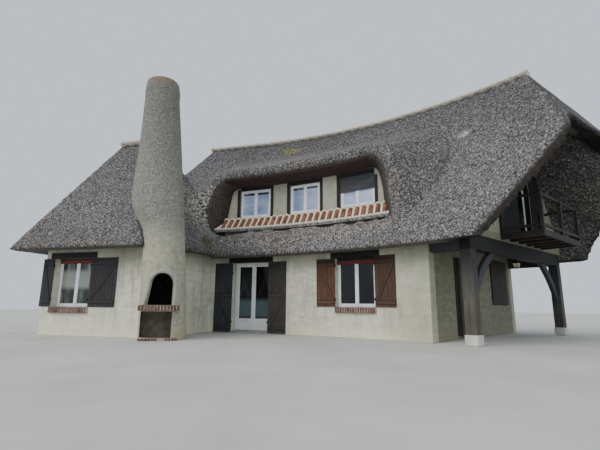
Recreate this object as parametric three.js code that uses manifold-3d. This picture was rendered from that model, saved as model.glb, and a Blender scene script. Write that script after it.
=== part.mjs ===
// Thatched cottage on a curved plan. Millimetres, +Z up, the terrace-side front looks along -Y.
// Origin: on the underside of the ground floor, in the middle of the house's depth, where the front
// looks straight along -Y. X runs along the front to the right, Y into the house.

import * as THREE from 'three';
import { mergeVertices } from 'three/addons/utils/BufferGeometryUtils.js';
import Module from 'manifold-3d';

const wasm = await Module();
wasm.setup();

// Plan: the front wall follows an arc that is hollow towards the terrace. A place in the plan is
// given by s, the length along that arc, and r, the depth behind the outer face of the front wall.
const ARC_RADIUS = 13860;
const ARC_START = -3200;
const ARC_STEP = 520;
const ORIGIN_R = 3000;
const DEPTH = 6300;
const WALL = 300;
const SEAT = 0.3;
const SHORT_EDGE = 0.05;

// Main body
const CORNER_S = 3900;
const LEFT_S = -7250;
const FLOOR_TOP = 50;
const UPPER_FLOOR_Z = 2590;
const UPPER_FLOOR_THICK = 180;

// Wing, which stands forward at the left end
const WING_FRONT_R = -2880;
const WING_SIDE_S = -3400;

// Thatch: main roof
const EAVE_Z = 2400;
const EAVE_OUT = 620;
const EAVE_EDGE = 50;
const RIDGE_Z = 7750;
const THATCH = 360;
const MAIN_PITCH = (RIDGE_Z - EAVE_Z - EAVE_EDGE) / (DEPTH / 2 + EAVE_OUT);
const LEFT_EAVE_S = LEFT_S - 850;
const LEFT_PITCH = 1.82;
const EAVE_END_S = 5300;
const HIP_END_S = 6800;
const HIP_FRONT_R = 1240;
const HIP_EAVE_Z = 5060;
const HIP_PITCH = 2.02;
const HIP_INSET = 550;
const HIP_UNDER_LOW = 1000;
const HIP_UNDERSIDE = [[840, 3900], [1240, 4720], [1640, 5230], [2240, 5540]];
const HIP_UNDERSIDE_TOP = 5660;
const VERGE_DROP = 390;
const VERGE_FROM_S = 4850;

// Thatch: wing
const WING_EAVE_R = WING_FRONT_R - 550;
const WING_RIDGE_Z = 6270;
const WING_RIDGE_R = -1400;
const WING_FRONT_PITCH = (WING_RIDGE_Z - EAVE_Z - EAVE_EDGE) / (WING_RIDGE_R - WING_EAVE_R);
const WING_LEFT_PITCH = 2.2;
const WING_RIGHT_EAVE_S = WING_SIDE_S + 500;
const WING_RIGHT_PITCH = 2.02;
const WING_BACK_PITCH = 1.0;
const WING_BACK_R = 1200;
const SADDLE_END_R = 2850;

// Half-round clay capping on the ridges
const RIDGE_CAP = 300;
const RIDGE_CAP_HIGH = 110;
const RIDGE_CAP_BED = 20;
const RIDGE_CAP_PAST = 60;
const WING_CAP_INSET = 150;

// Dormer: a long window band under a raised brow of thatch
// Its outline at the front, how far its feet spread at each depth, and the edge of its opening at the
// front and at the window wall, each as places along s and heights
const HOOD_DEPTHS = [-200, 1000, 2900];
const HOOD_FLARE = [0, 1250, 2000];
const HOOD_PITCH = 0.5;
const HOOD_LOW = 2600;
const HOOD_TOP_Z = 5430;
const HOOD_SHIFT = 40;
const RECESS_SHIFT = -60;
const HOOD_OUTLINE = [
  [-4080, 3050], [-3860, 4200], [-3690, 4800], [-3520, 5130], [-3280, 5340], [-2950, HOOD_TOP_Z],
  [2200, HOOD_TOP_Z], [2520, 5390], [2800, 5260], [3020, 5020], [3180, 4600], [3330, 3050],
];
const HOOD_OPENING = [
  [-3850, 3270], [-3640, 3900], [-3490, 4450], [-3370, 4870], [-3220, 5040], [-2950, 5140],
  [2200, 5170], [2470, 5130], [2670, 5010], [2810, 4790], [2900, 4450], [3040, 3270],
];
const WALL_OPENING = [
  [-3090, 3270], [-3020, 3800], [-2940, 4250], [-2870, 4620], [-2800, 4840], [-2680, 4960],
  [2250, 4980], [2330, 4940], [2390, 4820], [2440, 4600], [2500, 4300], [2620, 3270],
];
const RECESS_LOW = 2500;
const RECESS_BACK_R = 2600;
const RECESS_EDGE_R = 20;
const DORMER_WALL_R = 330;
const DORMER_WALL = 150;
const DORMER_SILL_Z = 3840;
const DORMER_HEAD_Z = 4830;
const DORMER_WINDOWS = [[-2560, 1170], [-700, 1110], [1080, 1180]];
const APRON_TOP_Z = 3800;
const APRON_BOTTOM_Z = 3430;
const APRON_THICK = 110;
const APRON_EDGE_R = -20;
const APRON_LEFT_S = -3310;
const APRON_RIGHT_S = 2880;
const APRON_TAPER = [290, -330];
const APRON_BEDDED = 20;

// Openings of the ground floor: start along the wall, width, bottom and top
const DOOR = { from: -2550, wide: 1300, low: 0, high: 2250 };
const WINDOW = { from: 1080, wide: 1260, low: 835, high: 2250 };
const WING_WINDOW = { from: -6920, wide: 1300, low: 780, high: 2170 };
const PORCH_DOOR = { from: 1450, wide: 900, low: 0, high: 2290 };
const GABLE_WINDOW = { from: 4200, wide: 1450, low: 930, high: 2400 };
const BACK_WINDOW = { from: 300, wide: 900, low: 835, high: 2250 };
const BALCONY_DOOR = { from: 2350, wide: 1600, low: 2820, high: 4880 };
const LINTEL_HIGH = 160;
const LINTEL_PAST = 150;
const LINTEL_OUT = 30;
const LINTEL_DEEP = 160;
const SILL_HIGH = 160;
const SILL_OUT = 70;
const SILL_PAST = 20;
const CUT_PAST = 50;
const DOOR_CLEAR = 10;
const FRAME_BACK = 5;

// Joinery
const FRAME_DEPTH = 70;
const FRAME_FACE = 75;
const PANE = 24;
const SIDE_FIT = 3;
const REVEAL = 110;
const WING_REVEAL = 190;
const DOOR_JAMB = 45;
const LEAF_RAIL = 95;
const LEAF_PANEL_HIGH = 620;
const THRESHOLD = 60;
const ROLLER_LOW = 4330;
const ROLLER_THICK = 20;
const DORMER_REVEAL = 25;
const SHUTTER_THICK = 32;
const SHUTTER_GAP = 6;
const SWING_GAP = 6;
const LEAF_THICK = 56;
const KNUCKLE_HIGH = 70;
const KNUCKLE_INSET = 0.15;
const WING_LEFT_LEAF = 400;

// Porch under the gable end
const GABLE_S = 5000;
const POST = 270;
const POST_R = 40;
const POST_BACK = 35;
const BEAM_LOW = 2230;
const PLINTH = 310;
const PLINTH_HIGH = 240;
const PLATE_LONG = 1300;
const BRACE_REACH = 1250;
const BRACE_FACE = 220;
const BRACE_CUT = 1.4 * BRACE_FACE;
const BRACE_BOW = 0.12;
const BRACE_THICK = 120;
const BALCONY_OUT = 1050;
const BALCONY_FROM_R = 1690;
const BALCONY_Z = 2760;
const BALCONY_THICK = 150;
const RAIL_HIGH = 980;
const RAIL_POST = 80;
const RAIL_THICK = 50;
const RAIL_FACE = 70;
const RAIL_HEIGHTS = [90, 890];

// Chimney: half widths to the left and right of its axis at rising heights
const CHIMNEY_S = -3200;
const CHIMNEY_R = -2900;
const CHIMNEY_RINGS = [
  [0, 55, 602], [1200, -25, 572], [2500, -97, 538], [2850, -135, 550], [3150, -240, 618],
  [3450, -343, 678], [3800, -395, 690], [4300, -417, 652], [5000, -438, 594], [6000, -488, 534],
  [6800, -518, 486], [7290, -533, 459], [7350, -535, 430],
];
const CHIMNEY_STEPS = 24;
const CHIMNEY_SIDES = 40;
const HEARTH_TURN = 0.52;
const NICHE_WIDE = 660;
const NICHE_LEAN = 90;
const NICHE_LOW = 860;
const NICHE_HIGH = 1660;
const NICHE_DEEP = 800;
const NICHE_S = -60;
const STORE_LOW = 60;
const STORE_HIGH = 700;
const STORE_PAST = 110;
const HEARTH_OUT = 720;
const HEARTH_LEFT = -540;
const HEARTH_RIGHT = 464;
const HEARTH_THICK = 140;
const CHIMNEY_FRONT = -900;
const FLUE = 230;
const FLUE_DEEP = 1200;

const render = new THREE.MeshStandardMaterial({ color: 0xb9b6a1, roughness: 0.95, metalness: 0 });
const roughcast = new THREE.MeshStandardMaterial({ color: 0x9b968a, roughness: 0.98, metalness: 0 });
const thatch = new THREE.MeshStandardMaterial({ color: 0x6f6a69, roughness: 1, metalness: 0 });
const clay = new THREE.MeshStandardMaterial({ color: 0xa06a4c, roughness: 0.85, metalness: 0 });
const brick = new THREE.MeshStandardMaterial({ color: 0x8a4a3a, roughness: 0.9, metalness: 0 });
const darkWood = new THREE.MeshStandardMaterial({ color: 0x2d2524, roughness: 0.8, metalness: 0 });
const redWood = new THREE.MeshStandardMaterial({ color: 0x6b3d2c, roughness: 0.8, metalness: 0 });
const whitePlastic = new THREE.MeshStandardMaterial({ color: 0xe9ebec, roughness: 0.4, metalness: 0 });
const greyPlastic = new THREE.MeshStandardMaterial({ color: 0x3c3d42, roughness: 0.5, metalness: 0 });
const concrete = new THREE.MeshStandardMaterial({ color: 0xa5a29a, roughness: 0.9, metalness: 0 });
const whitePaint = new THREE.MeshStandardMaterial({ color: 0xdcdad3, roughness: 0.7, metalness: 0 });

const house = new THREE.Group();

// Heading of the front at s: the turn about +Z of a piece that stands square to the wall there
function turnAt(s) {
  return -Math.max(s, ARC_START) / ARC_RADIUS;
}

// Plan point of (s, r); left of ARC_START the walls run straight on
function plan(s, r) {
  const onArc = Math.max(s, ARC_START);
  const angle = onArc / ARC_RADIUS;
  const past = s - onArc;
  const x = (ARC_RADIUS + r) * Math.sin(angle) + past * Math.cos(angle);
  const y = (ARC_RADIUS + r) * Math.cos(angle) - ARC_RADIUS - past * Math.sin(angle);
  return [x, y - ORIGIN_R];
}

function lerp(a, b, t) {
  return a + (b - a) * t;
}

// Closed geometry to a solid for joining and cutting
function solid(geometry) {
  const bare = geometry.clone();
  bare.deleteAttribute('normal');
  bare.deleteAttribute('uv');
  const merged = mergeVertices(bare, 0.01);
  return new wasm.Manifold(new wasm.Mesh({
    numProp: 3,
    vertProperties: Float32Array.from(merged.attributes.position.array),
    triVerts: Uint32Array.from(merged.index.array),
  }));
}

// Geometry of a solid, with the hair-short edges that cuts leave drawn together
function geometryOf(body) {
  const data = body.simplify(SHORT_EDGE).getMesh();
  const geometry = new THREE.BufferGeometry();
  geometry.setAttribute('position', new THREE.BufferAttribute(Float32Array.from(data.vertProperties), 3));
  geometry.setIndex(new THREE.BufferAttribute(Uint32Array.from(data.triVerts), 1));
  geometry.computeVertexNormals();
  return geometry;
}

function add(name, shape, material, parent = house) {
  const geometry = shape.isBufferGeometry ? shape : geometryOf(shape);
  const mesh = new THREE.Mesh(geometry, material);
  mesh.name = name;
  parent.add(mesh);
  return mesh;
}

// A block with curved sides: its grid corner (i, j, k) goes to the place (s, r, z) that shape gives
function bentBlock(nx, ny, nz, shape) {
  const geometry = new THREE.BoxGeometry(1, 1, 1, nx, ny, nz);
  const position = geometry.attributes.position;
  for (let n = 0; n < position.count; n += 1) {
    const i = Math.round((position.getX(n) + 0.5) * nx);
    const j = Math.round((position.getY(n) + 0.5) * ny);
    const k = Math.round((position.getZ(n) + 0.5) * nz);
    const [s, r, z] = shape(i, j, k);
    const [x, y] = plan(s, r);
    position.setXYZ(n, x, y, z);
  }
  return solid(geometry);
}

// Places along s where every piece that follows the arc has a corner, so that faces meet exactly
function arcBreaks() {
  const ends = (from, wide) => [from, from + wide];
  const list = [
    ...[DOOR, WINDOW, BACK_WINDOW].flatMap((o) => ends(o.from, o.wide)),
    ...DORMER_WINDOWS.flatMap(([from, wide]) => ends(from, wide)),
    CORNER_S, GABLE_S,
  ];
  for (let s = ARC_START; s < HIP_END_S; s += ARC_STEP) {
    if (list.every((other) => Math.abs(other - s) > ARC_STEP / 4)) {
      list.push(s);
    }
  }
  return list.sort((p, q) => p - q);
}

const BREAKS = arcBreaks();

// Stations along s from a to b
function stations(a, b) {
  return [a, ...BREAKS.filter((s) => s > a + 2 && s < b - 2), b];
}

// Wall, slab or beam between two depths and two heights, following the arc
function bent(s0, s1, r0, r1, z0, z1) {
  const list = stations(s0, s1);
  return bentBlock(list.length - 1, 1, 1, (i, j, k) => [list[i], j ? r1 : r0, k ? z1 : z0]);
}

// Ridge-shaped block across the house: heights at rising depths, the same all along s
function acrossRoof(s0, s1, profile, low) {
  const list = stations(s0, s1);
  const last = profile.length - 1;
  return bentBlock(list.length - 1, last, 1, (i, j, k) => [list[i], profile[j][0], k ? profile[j][1] : low]);
}

// Block along the house from r0 back to r1: heights at rising s at its front end and at its back end
function alongRoof(front, back, r0, r1, low) {
  return bentBlock(front.length - 1, 1, 1, (i, j, k) => {
    const [s, z] = (j ? back : front)[i];
    return [s, j ? r1 : r0, k ? z : low];
  });
}

// Solid made square to the wall at s, with its own x along the wall, y into the house and z up
function squareTo(s, r, geometry) {
  const [x, y] = plan(s, r);
  return solid(geometry.clone().rotateZ(turnAt(s)).translate(x, y, 0));
}

// Box from corner to corner in its own frame
function box(x0, x1, y0, y1, z0, z1) {
  const geometry = new THREE.BoxGeometry(x1 - x0, y1 - y0, z1 - z0);
  return geometry.translate((x0 + x1) / 2, (y0 + y1) / 2, (z0 + z1) / 2);
}

// Puts a mesh with its own origin at (s, r), turned with the wall there and by a further angle
function place(mesh, s, r, z = 0, turn = 0) {
  const [x, y] = plan(s, r);
  mesh.position.set(x, y, z);
  mesh.rotation.z = turnAt(s) + turn;
  return mesh;
}

// Puts a mesh made from left to right along a side wall into the plane at s: d out of it, r along it
function placeSide(mesh, s, d, r, z = 0) {
  const angle = turnAt(s);
  const [x, y] = plan(s, 0);
  const out = [d * Math.cos(angle) - r * Math.sin(angle), d * Math.sin(angle) + r * Math.cos(angle)];
  mesh.position.set(x + out[0], y + out[1], z);
  mesh.rotation.z = angle + Math.PI / 2;
}

function union(parts) {
  return parts.reduce((whole, part) => whole.add(part));
}

// Where a roof slope that starts at an eave reaches a height
function reach(eave, pitch, high) {
  return eave + (high - EAVE_Z - EAVE_EDGE) / pitch;
}

// Drop straight down that takes a slope in by the thickness of the thatch
function dropFor(pitch) {
  return THATCH * Math.sqrt(1 + pitch * pitch);
}

const ROOF_CAP = RIDGE_Z + 900;
const ROOM_LOW = -500;
const ROOM_SPREAD = 700;
const PAST = 40;
const MAIN_DROP = dropFor(MAIN_PITCH);

// Right end of the main roof at depth r: the verge leans out from the eave to the half hip
function mainEnd(r) {
  const fromEave = Math.min(r, DEPTH - r) + EAVE_OUT;
  const t = Math.min(1, fromEave / (HIP_FRONT_R + EAVE_OUT));
  return lerp(EAVE_END_S, HIP_END_S, t);
}

// Block between the left hip and the right half hip of the main roof
function mainEnds(low, leftDrop, rightDrop, spread) {
  const leftTop = LEFT_EAVE_S + (ROOF_CAP - EAVE_Z - EAVE_EDGE + leftDrop) / LEFT_PITCH;
  const rightTop = HIP_END_S - (ROOF_CAP - HIP_EAVE_Z + rightDrop) / HIP_PITCH;
  const middle = stations(leftTop, rightTop);
  const outR = EAVE_OUT + spread + PAST;
  const depths = [-outR, HIP_FRONT_R, DEPTH / 2, DEPTH - HIP_FRONT_R, DEPTH + outR];
  const last = middle.length + 1;
  return bentBlock(last, depths.length - 1, 1, (i, j, k) => {
    const r = depths[j];
    if (i === 0) {
      const s = LEFT_EAVE_S - spread;
      return [s, r, k ? EAVE_Z + EAVE_EDGE - leftDrop - spread * LEFT_PITCH : low];
    }
    if (i === last) {
      const s = mainEnd(r) + spread;
      return [s, r, k ? HIP_EAVE_Z + (HIP_END_S - s) * HIP_PITCH - rightDrop : low];
    }
    return [middle[i - 1], r, k ? ROOF_CAP : low];
  });
}

// Whole volume under the main roof's outer faces, raised by a seat where another piece is cut by it
function mainMass(raise = 0) {
  const slopes = acrossRoof(LEFT_EAVE_S - PAST, HIP_END_S + PAST, [
    [-EAVE_OUT - raise, EAVE_Z + EAVE_EDGE + raise],
    [DEPTH / 2, RIDGE_Z + 2 * raise],
    [DEPTH + EAVE_OUT + raise, EAVE_Z + EAVE_EDGE + raise],
  ], EAVE_Z - raise);
  return slopes.intersect(mainEnds(EAVE_Z - 100, -raise, -raise, 0));
}

// Space under the main thatch, lowered where walls are cut to fit below it
function mainRoom(lower = 0, drop = MAIN_DROP) {
  const spread = ROOM_SPREAD;
  const edge = EAVE_Z + EAVE_EDGE - drop - spread * MAIN_PITCH - lower;
  const slopes = acrossRoof(LEFT_EAVE_S - spread, HIP_END_S + spread, [
    [-EAVE_OUT - spread, edge],
    [DEPTH / 2, RIDGE_Z - drop - lower],
    [DEPTH + EAVE_OUT + spread, edge],
  ], ROOM_LOW);
  const leftDrop = dropFor(LEFT_PITCH) + lower;
  return slopes.intersect(mainEnds(ROOM_LOW, leftDrop, dropFor(HIP_PITCH) + lower, spread));
}

// The same space under the thinner thatch of the verge, from the middle of the upper gable wall outwards
function vergeRoom(lower = 0) {
  const out = ROOM_SPREAD;
  const beyond = bent(VERGE_FROM_S + lower, HIP_END_S + out, -out, DEPTH + out, ROOM_LOW, RIDGE_Z);
  return mainRoom(lower, VERGE_DROP).intersect(beyond);
}

// Wing roof, its outer volume or the room under its shell: a hipped front with a short ridge, and a
// saddle running back to the main roof, whose left slope it meets at its back end
function wingVolume(inside, lower = 0) {
  const eaveZ = EAVE_Z + EAVE_EDGE;
  const low = inside ? ROOM_LOW : EAVE_Z;
  const spread = inside ? ROOM_SPREAD : 0;
  const left = LEFT_EAVE_S;
  const right = WING_RIGHT_EAVE_S;
  const down = (pitch) => (inside ? dropFor(pitch) + lower : 0);
  const ridge = WING_RIDGE_Z - (inside ? THATCH + lower : 0);
  const leftTop = (pitch) => left + (ridge - eaveZ + down(pitch)) / pitch;
  const rightTop = right - (ridge - eaveZ + down(WING_RIGHT_PITCH)) / WING_RIGHT_PITCH;
  const saddlePitch = (WING_RIDGE_Z - eaveZ) / (right - reach(left, WING_LEFT_PITCH, WING_RIDGE_Z));
  const frontTop = WING_EAVE_R + (ridge - eaveZ + down(WING_FRONT_PITCH)) / WING_FRONT_PITCH;
  const backEnd = WING_BACK_R;
  const saddleEnd = SADDLE_END_R;
  const frontLow = eaveZ - down(WING_FRONT_PITCH) - spread * WING_FRONT_PITCH;
  const slopes = (leftPitch, pitch, top) => [
    [left - spread, eaveZ - down(leftPitch) - spread * leftPitch],
    [leftTop(leftPitch), ridge],
    [Math.max(top, leftTop(leftPitch) + 1), ridge],
    [right + spread, eaveZ - down(pitch) - spread * pitch],
  ];
  const sides = (pitch, top) => alongRoof(
    slopes(WING_LEFT_PITCH, pitch, top), slopes(LEFT_PITCH, pitch, top),
    WING_EAVE_R - spread - PAST, saddleEnd + PAST, low,
  );
  const hippedFront = acrossRoof(left - spread - PAST, right + spread + PAST, [
    [WING_EAVE_R - spread, frontLow],
    [frontTop, ridge],
    [backEnd, ridge - (backEnd - frontTop) * WING_BACK_PITCH],
  ], low);
  const saddleFront = acrossRoof(left - spread - PAST, right + spread + PAST, [
    [WING_EAVE_R - spread, frontLow],
    [frontTop, ridge],
    [saddleEnd, ridge],
  ], low);
  const saddleTop = right - (ridge - eaveZ + down(saddlePitch)) / saddlePitch;
  const hipped = sides(WING_RIGHT_PITCH, rightTop).intersect(hippedFront);
  const saddle = sides(saddlePitch, saddleTop).intersect(saddleFront);
  return hipped.add(saddle);
}

// Outline of heights along s with extra stations on its long top, so that it follows the arc; a shift
// keeps them off the stations of the roof that it cuts
function outline(points, grow, shift) {
  const half = points.length / 2;
  const grown = points.map(([s, z], n) => [s + (n < half ? -grow : grow), z + grow]);
  const [s0, z0] = grown[half - 1];
  const [s1, z1] = grown[half];
  const middle = stations(TOP_FROM_S, TOP_TO_S).slice(1, -1).map((s) => s + shift);
  const top = middle.map((s) => [s, lerp(z0, z1, (s - s0) / (s1 - s0))]);
  return [...grown.slice(0, half), ...top, ...grown.slice(half)];
}

// Raised brow over the dormer windows
function hoodMass(grow = 0) {
  const points = outline(HOOD_OUTLINE, grow, HOOD_SHIFT);
  const last = HOOD_DEPTHS.length - 1;
  const low = HOOD_OUTLINE[0][1];
  return bentBlock(points.length - 1, last, 1, (i, j, k) => {
    const [s, z] = points[i];
    const foot = Math.sqrt(Math.max(0, (HOOD_TOP_Z - z) / (HOOD_TOP_Z - low)));
    const way = i < points.length / 2 ? -1 : 1;
    const ends = (j === last ? grow : 0) - (j === 0 ? grow : 0);
    const rise = (HOOD_DEPTHS[j] - HOOD_DEPTHS[0]) * HOOD_PITCH;
    return [s + way * foot * HOOD_FLARE[j], HOOD_DEPTHS[j] + ends, k ? z + rise : HOOD_LOW];
  });
}

// Recess of the dormer: its sides and soffit close in towards the window wall, then it rises under the brow
function dormerRoom(grow = 0) {
  const front = outline(HOOD_OPENING, grow, RECESS_SHIFT);
  const inside = outline(WALL_OPENING, grow, RECESS_SHIFT);
  const backWall = DORMER_WALL_R + DORMER_WALL;
  const slopeAt = (r) => EAVE_Z + EAVE_EDGE + (r + EAVE_OUT) * MAIN_PITCH - 5;
  const frontR = HOOD_DEPTHS[0];
  const outR = frontR - PAST;
  const low = [
    [outR, slopeAt(outR), 0],
    [RECESS_EDGE_R, slopeAt(RECESS_EDGE_R), 0],
    [RECESS_EDGE_R + 1, RECESS_LOW, 0],
    [DORMER_WALL_R, RECESS_LOW, 0],
    [backWall, RECESS_LOW, 0],
    [RECESS_BACK_R, RECESS_LOW, (RECESS_BACK_R - backWall) * HOOD_PITCH],
  ];
  return bentBlock(front.length - 1, low.length - 1, 1, (i, j, k) => {
    const [r, z, rise] = low[j];
    const t = Math.min(1, Math.max(0, (r - frontR) / (DORMER_WALL_R - frontR)));
    const s = lerp(front[i][0], inside[i][0], t);
    const top = lerp(front[i][1], inside[i][1], t) + rise;
    return [s, r, k ? Math.max(top, z + 10) : z];
  });
}

// Chimney at height z: its lean to the side and its radius, drawn smoothly through the rings
const chimneyCurve = new THREE.CatmullRomCurve3(
  CHIMNEY_RINGS.map(([z, lean, radius]) => new THREE.Vector3(lean, radius, z)), false, 'chordal',
);

// Leaning, bellied round stack of roughcast masonry
function chimneyMass(grow = 0) {
  const rings = chimneyCurve.getPoints(CHIMNEY_STEPS);
  const last = rings.length - 1;
  const profile = rings.map((ring, n) => {
    const past = (n === 0 ? -grow : 0) + (n === last ? grow : 0);
    return new THREE.Vector2(ring.y + grow, ring.z + past);
  });
  const lid = [new THREE.Vector2(0, profile[last].y)];
  const geometry = new THREE.LatheGeometry([new THREE.Vector2(0, -grow), ...profile, ...lid], CHIMNEY_SIDES);
  geometry.rotateX(Math.PI / 2);
  const position = geometry.attributes.position;
  for (let n = 0; n < position.count; n += 1) {
    position.setX(n, position.getX(n) + chimneyLean(rings, position.getZ(n)));
  }
  return squareTo(CHIMNEY_S, CHIMNEY_R, geometry);
}

function chimneyLean(rings, z) {
  const above = rings.findIndex((ring) => ring.z >= z - 1);
  return rings[above < 0 ? rings.length - 1 : above].x;
}

const TOP_FROM_S = HOOD_OUTLINE[5][0];
const TOP_TO_S = HOOD_OUTLINE[6][0];
const chimneyCut = chimneyMass(SEAT);
const rooms = union([mainRoom(SEAT), vergeRoom(SEAT), wingVolume(true, SEAT)]);

// Roofs
function buildRoofs() {
  const mirrored = HIP_UNDERSIDE.map(([r, z]) => [DEPTH - r, z]).reverse();
  const underSide = [...HIP_UNDERSIDE, [DEPTH / 2, HIP_UNDERSIDE_TOP], ...mirrored];
  const underHip = bentBlock(1, underSide.length - 1, 1, (i, j, k) => {
    const [r, z] = underSide[j];
    return [i ? HIP_END_S + HIP_INSET : HIP_END_S - HIP_INSET, r, k ? z : HIP_UNDER_LOW];
  });
  const mainThatch = mainMass()
    .add(hoodMass())
    .subtract(mainRoom())
    .subtract(vergeRoom())
    .subtract(dormerRoom(SEAT))
    .subtract(wingVolume(true))
    .subtract(underHip)
    .subtract(chimneyCut);
  add('main_thatch', mainThatch, thatch);
  const wingThatch = wingVolume(false)
    .subtract(mainMass(SEAT))
    .subtract(hoodMass(SEAT))
    .subtract(wingVolume(true))
    .subtract(chimneyCut);
  add('wing_thatch', largest(wingThatch), thatch);
}

// Half-round ridge capping, seated on the thatch, over a list of places along s
function ridgeCap(list, r, z) {
  const wide = RIDGE_CAP;
  const high = RIDGE_CAP_HIGH;
  const arch = 6;
  return bentBlock(list.length - 1, arch, 1, (i, j, k) => {
    const angle = Math.PI * (j / arch);
    const lift = k ? Math.sin(angle) * high + RIDGE_CAP_BED : -high;
    return [list[i], r - Math.cos(angle) * wide / 2, z + lift];
  });
}

function buildRidges() {
  const ridgeLeft = reach(LEFT_EAVE_S, LEFT_PITCH, RIDGE_Z);
  const ridgeRight = HIP_END_S - (RIDGE_Z - HIP_EAVE_Z) / HIP_PITCH;
  const list = stations(ridgeLeft - RIDGE_CAP_PAST, ridgeRight + RIDGE_CAP_PAST);
  const main = ridgeCap(list, DEPTH / 2, RIDGE_Z);
  add('main_ridge', main.subtract(mainMass(SEAT)), clay);
  const wingLeft = reach(LEFT_EAVE_S, WING_LEFT_PITCH, WING_RIDGE_Z) + WING_CAP_INSET;
  const wingRight = reach(WING_RIGHT_EAVE_S, -WING_RIGHT_PITCH, WING_RIDGE_Z);
  const ends = [wingLeft - RIDGE_CAP_PAST, wingRight + RIDGE_CAP_PAST];
  const wing = ridgeCap(ends, WING_RIDGE_R, WING_RIDGE_Z);
  add('wing_ridge', wing.subtract(raised(wingVolume(false))), clay);
}

// The largest piece of a solid, without the slivers that cuts leave beside it
function largest(body) {
  return body.decompose().sort((p, q) => q.volume() - p.volume())[0];
}

// The same solid lifted by a seat
function raised(body) {
  return body.translate([0, 0, SEAT]);
}

// Walls
function openingCut(o, r0, r1) {
  return bent(o.from, o.from + o.wide, r0, r1, o.low, o.high);
}

// Timber lintel over an opening of a wall whose outer face is at depth faceR
function lintelBlock(o, grow = 0, faceR = 0) {
  const past = LINTEL_PAST + grow;
  const r0 = faceR - LINTEL_OUT - grow;
  const r1 = faceR - LINTEL_OUT + LINTEL_DEEP + grow;
  return bent(o.from - past, o.from + o.wide + past, r0, r1, o.high - grow, o.high + LINTEL_HIGH + grow);
}

// Brick sill below an opening, up to the window that stands reveal deep in the wall
function sillBlock(o, grow = 0, faceR = 0, reveal = REVEAL) {
  const past = SILL_PAST + grow;
  const r0 = faceR - SILL_OUT - grow;
  const r1 = faceR + reveal - 5 + grow;
  return bent(o.from - past, o.from + o.wide + past, r0, r1, o.low - SILL_HIGH - grow, o.low + grow - SEAT);
}

// Block at the depth of the wing's front wall
function wingBent(s0, s1, r0, r1, z0, z1) {
  return bent(s0, s1, WING_FRONT_R + r0, WING_FRONT_R + r1, z0, z1);
}

// Straight block that runs back into the house along the plane at s: d is the way out from that plane
function sideBox(s, d0, d1, r0, r1, z0, z1) {
  return squareTo(s, 0, box(d0, d1, r0, r1, z0, z1));
}

// Opening in such a wall: from and wide are depths here
function sideCut(o, s) {
  return sideBox(s, -WALL - CUT_PAST, CUT_PAST, o.from, o.from + o.wide, o.low, o.high);
}

function buildWalls() {
  const high = RIDGE_Z;
  const inner = DEPTH - WALL;
  const doorEnd = DOOR.from + DOOR.wide;
  const frontLintel = lintelBlock(DOOR, SEAT);
  const fit = (body) => body.intersect(rooms).subtract(chimneyCut);
  const left = fit(bent(WING_SIDE_S, DOOR.from - SEAT, 0, WALL, 0, high).subtract(frontLintel));
  add('front_wall_left', left, render);
  const overDoor = bent(DOOR.from, doorEnd, 0, WALL, DOOR.high, high).subtract(frontLintel);
  add('front_wall_over_door', fit(overDoor), render);
  const right = bent(doorEnd + SEAT, CORNER_S, 0, WALL, 0, high)
    .subtract(openingCut(WINDOW, -CUT_PAST, WALL + CUT_PAST))
    .subtract(frontLintel)
    .subtract(lintelBlock(WINDOW, SEAT))
    .subtract(sillBlock(WINDOW, SEAT));
  add('front_wall_right', fit(right), render);
  add('door_lintel', lintelBlock(DOOR), darkWood);
  add('window_lintel', lintelBlock(WINDOW), darkWood);
  add('window_sill', sillBlock(WINDOW), brick);

  const gableTop = UPPER_FLOOR_Z - SEAT;
  const porchDoorEnd = PORCH_DOOR.from + PORCH_DOOR.wide;
  const gable = (r0, r1, z0) => sideBox(CORNER_S, -WALL, 0, r0, r1, z0, gableTop);
  add('gable_wall_front', gable(WALL + 2, PORCH_DOOR.from - SEAT, 0), render);
  add('gable_wall_over_door', gable(PORCH_DOOR.from, porchDoorEnd, PORCH_DOOR.high), render);
  const rear = gable(porchDoorEnd + SEAT, inner - 8, 0).subtract(sideCut(GABLE_WINDOW, CORNER_S));
  add('gable_wall_rear', rear, render);

  const back = bent(LEFT_S, CORNER_S, inner, DEPTH, 0, high)
    .subtract(openingCut(BACK_WINDOW, inner - CUT_PAST, DEPTH + CUT_PAST));
  add('back_wall', fit(back), render);
  const leftWall = bent(LEFT_S, LEFT_S + WALL, WING_FRONT_R + WALL + SEAT, inner - SEAT, 0, high);
  add('left_wall', fit(leftWall), render);

  const wingFront = wingBent(LEFT_S, WING_SIDE_S, 0, WALL, 0, high)
    .subtract(openingCut(WING_WINDOW, WING_FRONT_R - CUT_PAST, WING_FRONT_R + WALL + CUT_PAST))
    .subtract(lintelBlock(WING_WINDOW, SEAT, WING_FRONT_R))
    .subtract(sillBlock(WING_WINDOW, SEAT, WING_FRONT_R, WING_REVEAL));
  add('wing_front_wall', fit(wingFront), render);
  const wingSide = bent(WING_SIDE_S - WALL, WING_SIDE_S - SEAT, WING_FRONT_R + WALL + SEAT, WALL, 0, high);
  add('wing_side_wall', fit(wingSide), render);
  add('wing_lintel', lintelBlock(WING_WINDOW, 0, WING_FRONT_R), darkWood);
  add('wing_sill', sillBlock(WING_WINDOW, 0, WING_FRONT_R, WING_REVEAL), brick);

  const upper = sideBox(GABLE_S, -WALL, 0, 0, DEPTH, UPPER_FLOOR_Z + UPPER_FLOOR_THICK + SEAT, high);
  add('upper_gable_wall', upper.subtract(sideCut(BALCONY_DOOR, GABLE_S)).intersect(rooms), render);
}

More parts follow.
